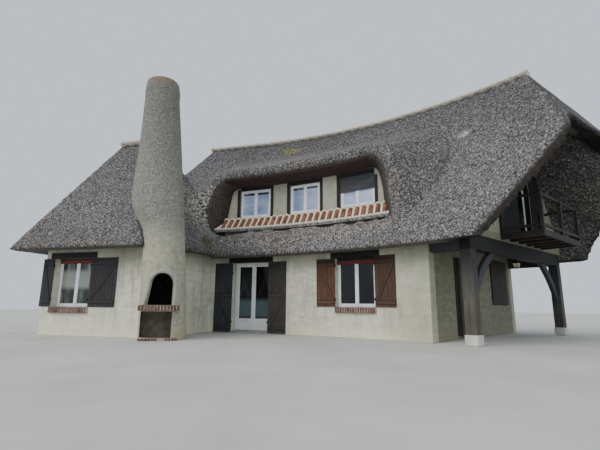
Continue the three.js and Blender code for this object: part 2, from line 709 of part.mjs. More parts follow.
// Floors: the upper one runs out over the porch on its beams
function buildFloors() {
  const inner = DEPTH - WALL - SEAT;
  const left = LEFT_S + WALL + SEAT;
  const pastGable = 200;
  const gableWall = sideBox(
    CORNER_S, -WALL - SEAT, pastGable, 0, DEPTH + CUT_PAST, -CUT_PAST, FLOOR_TOP + CUT_PAST,
  );
  const main = bent(left, CORNER_S, WALL + SEAT, inner, 0, FLOOR_TOP).subtract(gableWall);
  const wingRight = WING_SIDE_S - WALL - SEAT;
  const wing = bent(left, wingRight, WING_FRONT_R + WALL + SEAT, WALL + CUT_PAST, 0, FLOOR_TOP);
  add('ground_slab', main.add(wing).subtract(chimneyCut), concrete);
  const top = UPPER_FLOOR_Z + UPPER_FLOOR_THICK;
  const porchDeep = GABLE_S - CORNER_S;
  const overPorch = sideBox(GABLE_S, SEAT - porchDeep, 0, POST_R, DEPTH - POST_R, UPPER_FLOOR_Z, top);
  const upper = bent(left, CORNER_S + 40, WALL + SEAT, inner, UPPER_FLOOR_Z, top)
    .add(bent(CORNER_S + 20, GABLE_S - pastGable, WALL, DEPTH - WALL, UPPER_FLOOR_Z, top))
    .add(overPorch)
    .subtract(bent(WING_SIDE_S - WALL - 1, WING_SIDE_S + 1, WALL - CUT_PAST, WALL + 1, 0, RIDGE_Z));
  add('upper_floor', upper.intersect(rooms), darkWood);
}

// Dormer band: wall with three openings, and the tiled apron below it
function buildDormer() {
  const back = DORMER_WALL_R + DORMER_WALL;
  const bottom = UPPER_FLOOR_Z + UPPER_FLOOR_THICK + SEAT;
  const s0 = WALL_OPENING[0][0] - 200;
  const s1 = WALL_OPENING[WALL_OPENING.length - 1][0] + 200;
  const top = HOOD_TOP_Z;
  let wall = bent(s0, s1, DORMER_WALL_R, back, bottom, top).intersect(dormerRoom());
  DORMER_WINDOWS.forEach(([from, wide]) => {
    const opening = { from, wide, low: DORMER_SILL_Z, high: DORMER_HEAD_Z };
    wall = wall.subtract(openingCut(opening, DORMER_WALL_R - CUT_PAST, back + CUT_PAST));
  });
  add('dormer_wall', wall, render);
  const list = stations(APRON_LEFT_S, APRON_RIGHT_S);
  const edge = [[APRON_EDGE_R, APRON_BOTTOM_Z], [DORMER_WALL_R + APRON_BEDDED, APRON_TOP_Z]];
  const apron = bentBlock(list.length - 1, 1, 1, (i, j, k) => {
    const [r, z] = edge[j];
    const taper = lerp(APRON_TAPER[0], APRON_TAPER[1], i / (list.length - 1));
    return [list[i] + j * taper, r, z - (k ? 0 : APRON_THICK)];
  });
  const wallSeat = bent(s0, s1, DORMER_WALL_R - SEAT, back, bottom, top);
  const reed = mainMass(SEAT).add(hoodMass(SEAT)).subtract(dormerRoom());
  add('dormer_apron', largest(apron.subtract(reed).subtract(wallSeat)), clay);
}

// Window: frame with a post between its leaves and one pane, standing on its sill from x = 0
function windowUnit(wide, high, leaves) {
  const clear = (wide - FRAME_FACE * (leaves + 1)) / leaves;
  const front = (FRAME_DEPTH - PANE) / 2;
  let unit = solid(box(0, wide, 0, FRAME_DEPTH, 0, high));
  for (let n = 0; n < leaves; n += 1) {
    const x = FRAME_FACE + n * (clear + FRAME_FACE);
    [[-5, front], [front + PANE, FRAME_DEPTH + 5]].forEach(([y0, y1]) => {
      unit = unit.subtract(solid(box(x, x + clear, y0, y1, FRAME_FACE, high - FRAME_FACE)));
    });
  }
  return unit;
}

// A flat window in a curved wall: it fills the opening's chord with a seat all round
function addWindow(name, o, faceR) {
  const chord = 2 * (ARC_RADIUS + Math.max(faceR, 0)) * Math.sin(o.wide / 2 / ARC_RADIUS);
  const straight = o.from + o.wide <= ARC_START;
  const wide = (straight ? o.wide : chord) - 2 * SIDE_FIT;
  const unit = windowUnit(wide, o.high - o.low - 2 * SEAT, 2);
  const middle = o.from + o.wide / 2;
  const mesh = add(name, unit.translate([-wide / 2, 0, 0]), whitePlastic);
  place(mesh, middle, faceR, o.low + SEAT);
}

function buildWindows() {
  addWindow('front_window', WINDOW, REVEAL);
  addWindow('wing_window', WING_WINDOW, WING_FRONT_R + WING_REVEAL);
  DORMER_WINDOWS.forEach(([from, wide], n) => {
    const o = { from, wide, low: DORMER_SILL_Z, high: DORMER_HEAD_Z };
    addWindow(`dormer_window_${n + 1}`, o, DORMER_WALL_R + DORMER_REVEAL);
  });
  addWindow('back_window', BACK_WINDOW, DEPTH - REVEAL - FRAME_DEPTH);
  const inGable = [['gable_window', GABLE_WINDOW, CORNER_S], ['balcony_door', BALCONY_DOOR, GABLE_S]];
  inGable.forEach(([name, o, s]) => {
    const unit = windowUnit(o.wide - 2 * SIDE_FIT, o.high - o.low - 2 * SEAT, 2);
    placeSide(add(name, unit, whitePlastic), s, -REVEAL, o.from + SIDE_FIT, o.low + SEAT);
  });
  const [from, wide] = DORMER_WINDOWS[2];
  const halfWide = wide / 2 - SIDE_FIT;
  const curtain = box(-halfWide, halfWide, -ROLLER_THICK, -SEAT, ROLLER_LOW, DORMER_HEAD_Z - SIDE_FIT);
  place(add('roller_shutter', curtain, greyPlastic), from + wide / 2, DORMER_WALL_R + DORMER_REVEAL);
}

// Front door: a frame, a threshold and two glazed leaves that open into the house
function buildFrontDoor() {
  const o = DOOR;
  const middle = o.from + o.wide / 2;
  const half = o.wide / 2 - 2;
  const face = WALL - FRAME_DEPTH - FRAME_BACK;
  const outer = box(-half, half, 0, FRAME_DEPTH, THRESHOLD + SEAT, o.high - SEAT);
  const inner = box(-half + DOOR_JAMB, half - DOOR_JAMB, -5, FRAME_DEPTH + 5, 0, o.high - DOOR_JAMB);
  place(add('door_frame', solid(outer).subtract(solid(inner)), whitePlastic), middle, face);
  const stepEnd = o.from + o.wide - SEAT;
  add('door_step', bent(o.from + SEAT, stepEnd, FRAME_BACK, WALL - FRAME_BACK, 0, THRESHOLD), concrete);
  const leafWide = half - DOOR_JAMB - SWING_GAP - SHUTTER_GAP / 2;
  const low = THRESHOLD + 8;
  const high = o.high - DOOR_JAMB - SWING_GAP;
  const hingeOut = half - DOOR_JAMB - SWING_GAP;
  [['left', 1], ['right', -1]].forEach(([side, way]) => {
    const sheet = (a, b, y0, y1, z0, z1) => {
      const ends = [way * a, way * b].sort((p, q) => p - q);
      return solid(box(ends[0], ends[1], y0, y1, z0, z1));
    };
    const paneEnd = leafWide - LEAF_RAIL;
    const glass = (y0, y1) => sheet(LEAF_RAIL, paneEnd, y0, y1, LEAF_PANEL_HIGH, high - LEAF_RAIL);
    const body = sheet(0, leafWide, -LEAF_THICK, 0, low, high)
      .subtract(glass(-LEAF_THICK - 5, -(LEAF_THICK + PANE) / 2))
      .subtract(glass(-(LEAF_THICK - PANE) / 2, 5))
      .add(knuckles(low, high, SWING_GAP - SEAT));
    const mesh = add(`door_leaf_${side}`, body, whitePlastic);
    const angle = turnAt(middle);
    const [x0, y0] = plan(middle, face + FRAME_DEPTH);
    mesh.position.set(x0 - way * hingeOut * Math.cos(angle), y0 - way * hingeOut * Math.sin(angle), 0);
    mesh.rotation.z = angle;
  });
}

// Hinge knuckles round the upright line x = y = 0, near the foot and the head of a leaf
function knuckles(low, high, radius) {
  const inset = (high - low) * KNUCKLE_INSET;
  return union([low + inset, high - inset].map((z) => {
    const knuckle = new THREE.CylinderGeometry(radius, radius, KNUCKLE_HIGH, 16);
    return solid(knuckle.rotateX(Math.PI / 2).translate(0, 0, z));
  }));
}

// Shutter leaf hinged on its edge at x = 0 and lying towards way
function shutterLeaf(wide, low, high, way) {
  const half = SHUTTER_THICK / 2;
  const ends = [way * 2, way * wide].sort((p, q) => p - q);
  const board = solid(box(ends[0], ends[1], -half, half, low, high));
  return board.add(knuckles(low, high, half + SWING_GAP - SEAT));
}

// Pairs of shutters: hung on the wall's outer face, opened flat against it or closed over the opening
function buildShutters() {
  const axisOut = SWING_GAP + SHUTTER_THICK / 2;
  const openPair = (name, o, faceR, leftWide, rightWide, material) => {
    const low = o.low + SWING_GAP;
    const high = o.high - SWING_GAP;
    const left = add(`${name}_shutter_left`, shutterLeaf(leftWide, low, high, -1), material);
    place(left, o.from, faceR - axisOut, 0, turnAt(o.from - leftWide / 2) - turnAt(o.from));
    const end = o.from + o.wide;
    const right = add(`${name}_shutter_right`, shutterLeaf(rightWide, low, high, 1), material);
    place(right, end, faceR - axisOut, 0, turnAt(end + rightWide / 2) - turnAt(end));
  };
  const doorLeaf = DOOR.wide / 2 - SHUTTER_GAP;
  openPair('door', { ...DOOR, low: 5 }, 0, doorLeaf, doorLeaf, darkWood);
  const windowLeaf = WINDOW.wide / 2 - SHUTTER_GAP;
  openPair('window', WINDOW, 0, windowLeaf, windowLeaf, redWood);
  const wingRightLeaf = WING_WINDOW.wide - WING_LEFT_LEAF - 2 * SHUTTER_GAP;
  openPair('wing', WING_WINDOW, WING_FRONT_R, WING_LEFT_LEAF, wingRightLeaf, darkWood);

  const o = GABLE_WINDOW;
  const leaf = o.wide / 2 - SHUTTER_GAP / 2;
  const low = o.low + SWING_GAP;
  const high = o.high - SWING_GAP;
  const front = add('gable_shutter_front', shutterLeaf(leaf, low, high, 1), darkWood);
  placeSide(front, CORNER_S, axisOut, o.from);
  const rear = add('gable_shutter_rear', shutterLeaf(leaf, low, high, -1), darkWood);
  placeSide(rear, CORNER_S, axisOut, o.from + o.wide);
}

// Boarded door from the porch into the house
function buildPorchDoor() {
  const o = PORCH_DOOR;
  const wide = o.wide - 2 * SWING_GAP;
  const leaf = box(0, wide, -LEAF_THICK, 0, FLOOR_TOP + DOOR_CLEAR, o.high - SWING_GAP);
  const body = solid(leaf).add(knuckles(FLOOR_TOP, o.high, SWING_GAP));
  placeSide(add('porch_door', body, darkWood), CORNER_S, FRAME_BACK - WALL, o.from + SWING_GAP);
}

// Porch: posts on plinths, the long beam that carries the gable end, and curved knee braces
function buildPorch() {
  const out = -POST_BACK;
  const into = out - POST;
  const rear = DEPTH - POST_R - POST;
  const beamTop = UPPER_FLOOR_Z - SEAT;
  add('porch_beam', sideBox(GABLE_S, into, out, POST_R, DEPTH - POST_R, BEAM_LOW, beamTop), darkWood);
  const margin = (PLINTH - POST) / 2;
  [['front', POST_R], ['rear', rear]].forEach(([name, r]) => {
    const end = r + POST;
    add(`${name}_post`, sideBox(GABLE_S, into, out, r, end, PLINTH_HIGH + SEAT, BEAM_LOW - SEAT), darkWood);
    const foot = sideBox(GABLE_S, into - margin, out + margin, r - margin, end + margin, 0, PLINTH_HIGH);
    add(`${name}_plinth`, foot, whitePaint);
    const wall = sideBox(CORNER_S, -PLATE_LONG, SEAT, -CUT_PAST, DEPTH + CUT_PAST, 0, RIDGE_Z);
    const plate = sideBox(GABLE_S, into - PLATE_LONG, into - SEAT, r, end, BEAM_LOW, beamTop);
    add(`${name}_plate`, plate.subtract(wall), darkWood);
  });
  const bow = new THREE.Shape();
  bow.moveTo(0, 0);
  const lower = BRACE_REACH / 2;
  const shift = BRACE_REACH * BRACE_BOW;
  bow.quadraticCurveTo(lower - shift, lower + shift, BRACE_REACH, BRACE_REACH);
  bow.lineTo(BRACE_REACH - BRACE_CUT, BRACE_REACH);
  const upper = (BRACE_REACH - BRACE_CUT) / 2;
  bow.quadraticCurveTo(upper - shift, upper + shift + BRACE_CUT, 0, BRACE_CUT);
  bow.closePath();
  const brace = new THREE.ExtrudeGeometry(bow, { depth: BRACE_THICK, bevelEnabled: false, curveSegments: 5 });
  brace.rotateX(Math.PI / 2).translate(0, BRACE_THICK / 2, 0);
  const braceLow = BEAM_LOW - SEAT - BRACE_REACH;
  const middle = (into + out) / 2;
  const fromPost = POST_R + POST + SEAT;
  const front = brace.clone().rotateZ(Math.PI / 2).translate(middle, fromPost, braceLow);
  place(add('front_brace', front, darkWood), GABLE_S, 0);
  const back = brace.clone().rotateZ(-Math.PI / 2).translate(middle, DEPTH - fromPost, braceLow);
  place(add('rear_brace', back, darkWood), GABLE_S, 0);
}

// Balcony under the half hip
function buildBalcony() {
  const out = BALCONY_OUT;
  const r0 = BALCONY_FROM_R;
  const r1 = DEPTH - BALCONY_FROM_R;
  const bar = (d0, d1, a, b, z0, z1) => sideBox(GABLE_S, d0, d1, a, b, z0, z1);
  add('balcony_floor', bar(SEAT, out, r0, r1, BALCONY_Z - BALCONY_THICK, BALCONY_Z), darkWood);
  const low = BALCONY_Z + SEAT;
  const high = BALCONY_Z + RAIL_HIGH;
  const post = RAIL_POST;
  const inset = (post - RAIL_THICK) / 2;
  const places = [
    [SEAT, r0], [out - post, r0], [out - post, (r0 + r1 - post) / 2],
    [out - post, r1 - post], [SEAT, r1 - post],
  ];
  const parts = places.map(([d, r]) => bar(d, d + post, r, r + post, low, high));
  RAIL_HEIGHTS.forEach((rise) => {
    const z0 = low + rise;
    const z1 = z0 + RAIL_FACE;
    parts.push(bar(SEAT + inset, out - inset, r0 + inset, r0 + post - inset, z0, z1));
    parts.push(bar(SEAT + inset, out - inset, r1 - post + inset, r1 - inset, z0, z1));
    parts.push(bar(out - post + inset, out - inset, r0 + inset, r1 - inset, z0, z1));
  });
  add('balcony_rail', union(parts), darkWood);
}

// Chimney with the arched barbecue niche, the log store below it and the brick hearth between them
function buildChimney() {
  const arch = new THREE.Shape();
  const half = NICHE_WIDE / 2;
  const round = half - NICHE_LEAN / 2;
  arch.moveTo(-half, NICHE_LOW);
  arch.lineTo(half, NICHE_LOW);
  arch.lineTo(half, NICHE_HIGH - round);
  arch.absarc(NICHE_LEAN / 2, NICHE_HIGH - round, round, 0, Math.PI, false);
  arch.closePath();
  const niche = new THREE.ExtrudeGeometry(arch, { depth: NICHE_DEEP, bevelEnabled: false, curveSegments: 8 });
  niche.rotateX(Math.PI / 2).translate(NICHE_S, CHIMNEY_FRONT + NICHE_DEEP, 0);
  const back = CHIMNEY_FRONT + NICHE_DEEP;
  const store = box(NICHE_S - half - STORE_PAST, NICHE_S + half, CHIMNEY_FRONT, back, STORE_LOW, STORE_HIGH);
  const top = CHIMNEY_RINGS[CHIMNEY_RINGS.length - 1][0];
  const flue = new THREE.CylinderGeometry(FLUE, FLUE, FLUE_DEEP, 16);
  flue.rotateX(Math.PI / 2).translate(CHIMNEY_RINGS[CHIMNEY_RINGS.length - 1][1], 0, top);
  const shelf = box(HEARTH_LEFT, HEARTH_RIGHT, -HEARTH_OUT, 0, NICHE_LOW - HEARTH_THICK, NICHE_LOW);
  const atHearth = (geometry) => squareTo(CHIMNEY_S, CHIMNEY_R, geometry.clone().rotateZ(HEARTH_TURN));
  const body = chimneyMass()
    .subtract(atHearth(niche))
    .subtract(atHearth(store))
    .subtract(squareTo(CHIMNEY_S, CHIMNEY_R, flue));
  add('chimney', body, roughcast);
  const walls = wingBent(LEFT_S, WING_SIDE_S + SEAT, -SEAT, WALL, 0, EAVE_Z);
  add('hearth_shelf', largest(atHearth(shelf).subtract(chimneyCut).subtract(walls)), brick);
}

buildRoofs();
buildRidges();
buildWalls();
buildFloors();
buildDormer();
buildWindows();
buildFrontDoor();
buildShutters();
buildPorchDoor();
buildPorch();
buildBalcony();
buildChimney();

export default house;
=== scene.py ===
# Thatched cottage on a gently curved plan, dressed over its solids. Metres, +Z up; the front looks along -Y.
import math

import bmesh
import bpy
import numpy as np
from mathutils import Matrix


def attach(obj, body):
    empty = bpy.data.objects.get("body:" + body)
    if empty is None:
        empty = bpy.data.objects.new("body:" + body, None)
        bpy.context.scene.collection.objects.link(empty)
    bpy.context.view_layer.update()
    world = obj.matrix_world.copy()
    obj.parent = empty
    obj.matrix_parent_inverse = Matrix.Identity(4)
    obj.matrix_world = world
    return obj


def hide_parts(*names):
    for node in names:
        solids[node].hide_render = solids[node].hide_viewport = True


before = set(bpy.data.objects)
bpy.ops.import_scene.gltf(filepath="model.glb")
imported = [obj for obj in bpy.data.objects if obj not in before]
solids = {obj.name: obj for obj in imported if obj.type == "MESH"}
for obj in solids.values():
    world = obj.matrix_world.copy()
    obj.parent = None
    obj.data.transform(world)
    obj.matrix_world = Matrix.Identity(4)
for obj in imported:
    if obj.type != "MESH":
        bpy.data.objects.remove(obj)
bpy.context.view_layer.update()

# Viewpoint, daylight and ground. The eye stands on the terrace, low and close to the right half of the
# front; the sky is a bright even cloud cover, so the light is soft, with a weak sun from the front left.
EYE = (5.773, -13.893, 0.884)
EYE_TURN = math.radians(28.5)
EYE_RISE = math.radians(11.38)
EYE_ROLL = 0.0078
GROUND_REACH = 60
GROUND_Z = -0.004


def set_out(name, data):
    """Object of some data, put in the scene."""
    made = bpy.data.objects.new(name, data)
    bpy.context.scene.collection.objects.link(made)
    return made


view = bpy.data.cameras.new("eye")
view.lens = 23.88
view.sensor_width = 36
eye = set_out("eye", view)
level = np.array([math.cos(EYE_TURN), math.sin(EYE_TURN), 0])
ahead = np.array([-level[1] * math.cos(EYE_RISE), level[0] * math.cos(EYE_RISE), math.sin(EYE_RISE)])
rise = np.cross(level, ahead)
right = math.cos(EYE_ROLL) * level + math.sin(EYE_ROLL) * rise
above = math.cos(EYE_ROLL) * rise - math.sin(EYE_ROLL) * level
eye.matrix_world = Matrix([[right[n], above[n], -ahead[n], EYE[n]] for n in range(3)] + [[0, 0, 0, 1]])
bpy.context.scene.camera = eye


def paint(code):
    """Colour written as six hexadecimal digits, as linear light with a full alpha."""
    parts = [int(code[n:n + 2], 16) / 255 for n in (0, 2, 4)]
    return [p / 12.92 if p < 0.04 else ((p + 0.055) / 1.055) ** 2.4 for p in parts] + [1]


def wire(tree, kind, sockets=None, **settings):
    """One node of a tree: settings are its properties, sockets give values or outputs to its inputs."""
    made = tree.nodes.new(kind)
    for key, value in settings.items():
        setattr(made, key, value)
    for key, value in (sockets or {}).items():
        if isinstance(value, bpy.types.NodeSocket):
            tree.links.new(value, made.inputs[key])
        else:
            made.inputs[key].default_value = value
    return made


world = bpy.data.worlds.new("cloud_cover")
bpy.context.scene.world = world
world.use_nodes = True
sky = world.node_tree
sky.nodes["Background"].inputs["Color"].default_value = (0.80, 0.87, 0.97, 1)
sky.nodes["Background"].inputs["Strength"].default_value = 0.96
lamp = bpy.data.lights.new("veiled_sun", "SUN")
lamp.energy = 1.75
lamp.angle = math.radians(40)
lamp.color = (1.0, 0.97, 0.92)
sun = set_out("veiled_sun", lamp)
sun.rotation_euler = (math.radians(48), 0, math.radians(-25))


def finish(name, roughness=0.8, gleam=0.5):
    """New material: itself, its Principled shader and its object coordinates."""
    made = bpy.data.materials.new(name)
    made.use_nodes = True
    shader = made.node_tree.nodes["Principled BSDF"]
    shader.inputs["Roughness"].default_value = roughness
    shader.inputs["Specular IOR Level"].default_value = gleam
    return made, shader, wire(made.node_tree, "ShaderNodeTexCoord").outputs["Object"]


def mottle(place, scale=1.0, detail=4, rough=0.6):
    """Noise value at a place."""
    sockets = {"Vector": place, "Scale": scale, "Detail": detail, "Roughness": rough}
    return wire(place.id_data, "ShaderNodeTexNoise", sockets).outputs["Fac"]


def shades(factor, *stops):
    """Colours laid along a factor: stops are (position, colour)."""
    made = wire(factor.id_data, "ShaderNodeValToRGB", {"Fac": factor})
    while len(made.color_ramp.elements) < len(stops):
        made.color_ramp.elements.new(0.5)
    for element, (position, colour) in zip(made.color_ramp.elements, stops):
        element.position = position
        element.color = paint(colour) if isinstance(colour, str) else (colour, colour, colour, 1)
    return made.outputs["Color"]


def dressed(shader, colour, *bumps):
    """Joins a colour to a shader, and bumps, each a (height, distance, strength), one on top of another."""
    tree = shader.id_data
    tree.links.new(colour, shader.inputs["Base Color"])
    below = {}
    for height, distance, strength in bumps:
        sockets = {"Height": height, "Distance": distance, "Strength": strength, **below}
        below = {"Normal": wire(tree, "ShaderNodeBump", sockets).outputs["Normal"]}
        tree.links.new(below["Normal"], shader.inputs["Normal"])


paving, shader, place = finish("pale_ground", 0.9)
dressed(shader, shades(mottle(place, 0.6), (0.3, "b9b8b0"), (0.7, "c9c8c1")))
flat = bpy.data.meshes.new("ground")
corners = [(x * GROUND_REACH, y * GROUND_REACH, GROUND_Z) for x, y in ((-1, -1), (1, -1), (1, 1), (-1, 1))]
flat.from_pydata(corners, [], [(0, 1, 2, 3)])
flat.materials.append(paving)
set_out("ground", flat)

# Thatch: reed laid in bundles up to 40 cm thick and combed smooth, so eaves, hips and the brow over the
# dormers are soft and rounded. Both roofs are one coat, with a hollow swept wide between them; where the reed
# is cut, at verges and round the brow, its ends are painted as a darker, smoother face, partly their own
# colour and partly painted shade. Painted shade also darkens the undersides of the eaves, the porch side and
# the brow's recess.
ARC_RADIUS = 13.86
ARC_START = -3.2
ORIGIN_DEPTH = 3.0
REED_VOXEL = 0.073
REED_SMOOTHING = 4
REED_SWELL = 0.022


def on_plan(s, r, z):
    """Place of the plan: s along the front's arc (straight on, left of ARC_START), r behind it, z up."""
    s, r, z = np.broadcast_arrays(np.asarray(s, float), r, z)
    arc = np.maximum(s, ARC_START)
    turn = arc / ARC_RADIUS
    past = s - arc
    x = (ARC_RADIUS + r) * np.sin(turn) + past * np.cos(turn)
    y = (ARC_RADIUS + r) * np.cos(turn) - ARC_RADIUS - past * np.sin(turn) - ORIGIN_DEPTH
    return np.stack([x, y, z], -1)


def plan_place(points):
    """The reverse, s and r of points: the angle about the arc's centre times its radius, and the distance
    past that radius; or the same along the straight run."""
    x = points[:, 0]
    y = points[:, 1] + ORIGIN_DEPTH + ARC_RADIUS
    turn = np.arctan2(x, y)
    start = ARC_START / ARC_RADIUS
    straight = turn < start
    along = x * np.cos(start) - y * np.sin(start)
    out = x * np.sin(start) + y * np.cos(start)
    s = np.where(straight, ARC_START + along, turn * ARC_RADIUS)
    r = np.where(straight, out, np.hypot(x, y)) - ARC_RADIUS
    return s, r


def lumps(points, size, seed):
    """Noise from -1 to 1: a random number at each corner of a lattice of that size, blended between them."""
    q = points / np.asarray(size, float)
    base = np.floor(q).astype(np.int64)
    f = q - base
    f = f * f * (3 - 2 * f)
    total = np.zeros(len(points))
    for corner in np.ndindex(2, 2, 2):
        mixed = (base + corner) @ np.array([73856093, 19349663, 83492791]) + seed * 2654435
        mixed = (mixed ^ (mixed >> 13)) * 1274126177
        mixed = (mixed ^ (mixed >> 16)) & 0xFFFF
        total += mixed / 0xFFFF * np.prod(np.where(corner, f, 1 - f), 1)
    return 2 * total - 1


def averaged(values, edges, count, share):
    """Each row of values moved towards the mean of the rows that edges join to it, by a share."""
    ends = np.concatenate([edges, edges[:, ::-1]])
    near = np.bincount(ends[:, 0], minlength=count)
    mean = np.stack([np.bincount(ends[:, 0], column[ends[:, 1]], count) for column in values.T], 1)
    return values + share * (mean / near[:, None] - values)


def read_out(items, key, width, kind=float):
    """Values of a mesh's items as an array with a row for each."""
    values = np.zeros(len(items) * width, kind)
    items.foreach_get(key, values)
    return values.reshape(-1, width)


def keep(mesh, name, values):
    """Values kept on a mesh's points under a name, one number or three for each."""
    kind, key = ("FLOAT", "value") if values.ndim == 1 else ("FLOAT_VECTOR", "vector")
    mesh.attributes.new(name, kind, "POINT").data.foreach_set(key, values.ravel())


def merged_solids(name, nodes):
    """Copy of solids as one mesh with its corners merged."""
    corners = []
    faces = []
    for node in nodes:
        mesh = solids[node].data
        start = sum(len(points) for points in corners)
        faces.append(read_out(mesh.loops, "vertex_index", 1, int).reshape(-1, 3) + start)
        corners.append(read_out(mesh.vertices, "co", 3))
    corners = np.concatenate(corners)
    faces = np.concatenate(faces)
    first, back = np.unique(np.round(corners, 4), axis=0, return_index=True, return_inverse=True)[1:]
    faces = back.reshape(-1)[faces]
    faces = faces[(faces[:, 0] != faces[:, 1]) & (faces[:, 1] != faces[:, 2]) & (faces[:, 2] != faces[:, 0])]
    mesh = bpy.data.meshes.new(name)
    mesh.from_pydata(corners[first].tolist(), [], faces.tolist())
    return mesh


def take_piece(obj, body="house", stands_for=()):
    """Joins an object to the body that it moves with, and hides the solids of the nodes that it stands for.
    """
    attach(obj, body)
    if stands_for:
        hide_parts(*stands_for)


VALLEY_FOOT = (-2.9, -0.62)
VALLEY_RUN = 0.696
VALLEY_REACH = 0.75
VALLEY_Z = 2.2
VALLEY_SLOPE = 1.4
VALLEY_BACK = 2.1
VALLEY_ROUNDS = 46
BROW_SIDES = np.array([[-3.85, 3.04, 3.27], [-3.64, 2.97, 3.90], [-3.49, 2.90, 4.45],
                       [-3.37, 2.81, 4.79], [-3.22, 2.67, 5.01], [-2.95, 2.47, 5.15]])
BROW_FOOT = 3.3
BROW_DEPTHS = (-0.25, 1.6)
BROW_FADE = 0.05
VERGE_AT = 5.2
COMB_SHARE = 0.6
FINE_LUMP = 0.009
STRAW_LUMP = 0.005
BROAD_LUMP = 0.02


def in_valley(points):
    """How near points of the upper face are to the valley of the roofs: 0 at its reach, 1 on its line."""
    s, r = plan_place(points)
    off = np.abs(s - VALLEY_FOOT[0] + VALLEY_RUN * (r - VALLEY_FOOT[1])) / math.hypot(1, VALLEY_RUN)
    upper = points[:, 2] > VALLEY_Z + VALLEY_SLOPE * (r - VALLEY_FOOT[1])
    return np.clip(1.3 - off / VALLEY_REACH, 0, 1) * (r < VALLEY_BACK) * upper


def in_brow(s, r, z):
    """1 within the outline of the brow's mouth and behind the slope, fading to 0 over 5 cm about its edge."""
    left = np.interp(z, BROW_SIDES[:, 2], BROW_SIDES[:, 0])
    right = np.interp(z, BROW_SIDES[:, 2], BROW_SIDES[:, 1])
    inset = np.minimum.reduce([s - left, right - s, BROW_SIDES[-1, 2] + 0.03 - z, z - BROW_FOOT])
    return np.clip(0.6 + inset / BROW_FADE, 0, 1) * (r > BROW_DEPTHS[0]) * (r < BROW_DEPTHS[1])


def combed_reed(name, nodes, voxel, rounds, swell):
    """Solids grown into one skin of even squares, then each point drawn to the mean of its neighbours, more
    often in the valley, and pushed out along its normal by a swell and by two sizes of lump. Two masks are
    kept: cut for the reed's cut ends, which are painted darker, partly as painted shade, and deep for how far
    a point lies under the brow, which paints the brow's recess dark as painted shade."""
    rough = set_out(name, merged_solids(name, nodes))
    grown = rough.modifiers.new("grown", "REMESH")
    grown.mode = "VOXEL"
    grown.voxel_size = voxel
    mesh = bpy.data.meshes.new_from_object(rough.evaluated_get(bpy.context.evaluated_depsgraph_get()))
    bpy.data.objects.remove(rough)
    count = len(mesh.vertices)
    points = read_out(mesh.vertices, "co", 3)
    edges = read_out(mesh.edges, "vertices", 2, int)
    for turn in range(rounds):
        points = averaged(points, edges, count, COMB_SHARE)
    hollow = COMB_SHARE * in_valley(points)[:, None]
    for turn in range(VALLEY_ROUNDS):
        points = averaged(points, edges, count, hollow)
    mesh.vertices.foreach_set("co", points.ravel())
    mesh.update()
    normal = read_out(mesh.vertices, "normal", 3)
    s, r = plan_place(points)
    turned = np.maximum(s, ARC_START) / ARC_RADIUS
    n_along = normal[:, 0] * np.cos(turned) - normal[:, 1] * np.sin(turned)
    n_deep = normal[:, 0] * np.sin(turned) + normal[:, 1] * np.cos(turned)
    level_run = np.where(np.abs(n_along) > np.abs(n_deep) * 1.05, r + 40, s)
    straw = np.stack([level_run, points[:, 2] * 1.25 + 0.5 * r * (np.abs(normal[:, 2]) > 0.9), r * 0.2], 1)
    lift = swell + FINE_LUMP * lumps(points, 0.42, 1) + STRAW_LUMP * lumps(straw, (0.11, 0.3, 0.3), 2)
    lift += BROAD_LUMP * lumps(points, 1.7, 3) * (normal[:, 2] > 0)
    points = points + normal * lift[:, None]
    mesh.vertices.foreach_set("co", points.ravel())
    brow = in_brow(s, r, points[:, 2])
    verge = np.clip((n_along - 0.55) / 0.2, 0, 1) * np.clip((0.5 - normal[:, 2]) / 0.15, 0, 1)
    verge = verge * (s > VERGE_AT)
    keep(mesh, "straw", straw)
    keep(mesh, "place", np.stack([s, r, points[:, 2]], 1))
    keep(mesh, "cut", np.maximum(brow, verge))
    keep(mesh, "deep", brow * np.clip((r + 0.05) / 0.3, 0, 1))
    mesh.shade_smooth()
    made = set_out(name, mesh)
    take_piece(made, stands_for=nodes)
    return made


reed_coat = combed_reed("reed_coat", ("main_thatch", "wing_thatch"), REED_VOXEL, REED_SMOOTHING, REED_SWELL)


def tree_of(*values):
    """Node tree of the first socket among values."""
    return next(v for v in values if isinstance(v, bpy.types.NodeSocket)).id_data


def scaled(place, scale):
    """Vector times a scale for each axis."""
    return wire(place.id_data, "ShaderNodeMapping", {"Vector": place, "Scale": scale}).outputs["Vector"]


def on_axis(place, name):
    """One coordinate of a vector, by the axis's name."""
    return wire(place.id_data, "ShaderNodeSeparateXYZ", {0: place}).outputs[name]


def ramp(value, low, high, top=1.0):
    """Value stretched so that low becomes 0 and high becomes top, and held at both ends."""
    sockets = {"Value": value, "From Min": low, "From Max": high, "To Max": top}
    return wire(value.id_data, "ShaderNodeMapRange", sockets).outputs["Result"]


def reckon(how, *values):
    """One step of arithmetic on values."""
    return wire(tree_of(*values), "ShaderNodeMath", dict(enumerate(values)), operation=how).outputs[0]


def laid_over(factor, under, over, how="MIX"):
    """The colour over laid on the colour under, by a factor."""
    tree = tree_of(factor, under, over)
    sockets = {0: factor, 6: under, 7: over}
    return wire(tree, "ShaderNodeMix", sockets, data_type="RGBA", blend_type=how).outputs[2]


def tinted(colour, mask, share, code, how="MIX"):
    """Colour with a share of another colour on it where a mask is."""
    return laid_over(reckon("MULTIPLY", mask, share), colour, paint(code), how)


def kept_values(place, name, kind="Vector"):
    """Values that the mesh keeps under a name."""
    return wire(place.id_data, "ShaderNodeAttribute", attribute_name=name).outputs[kind]


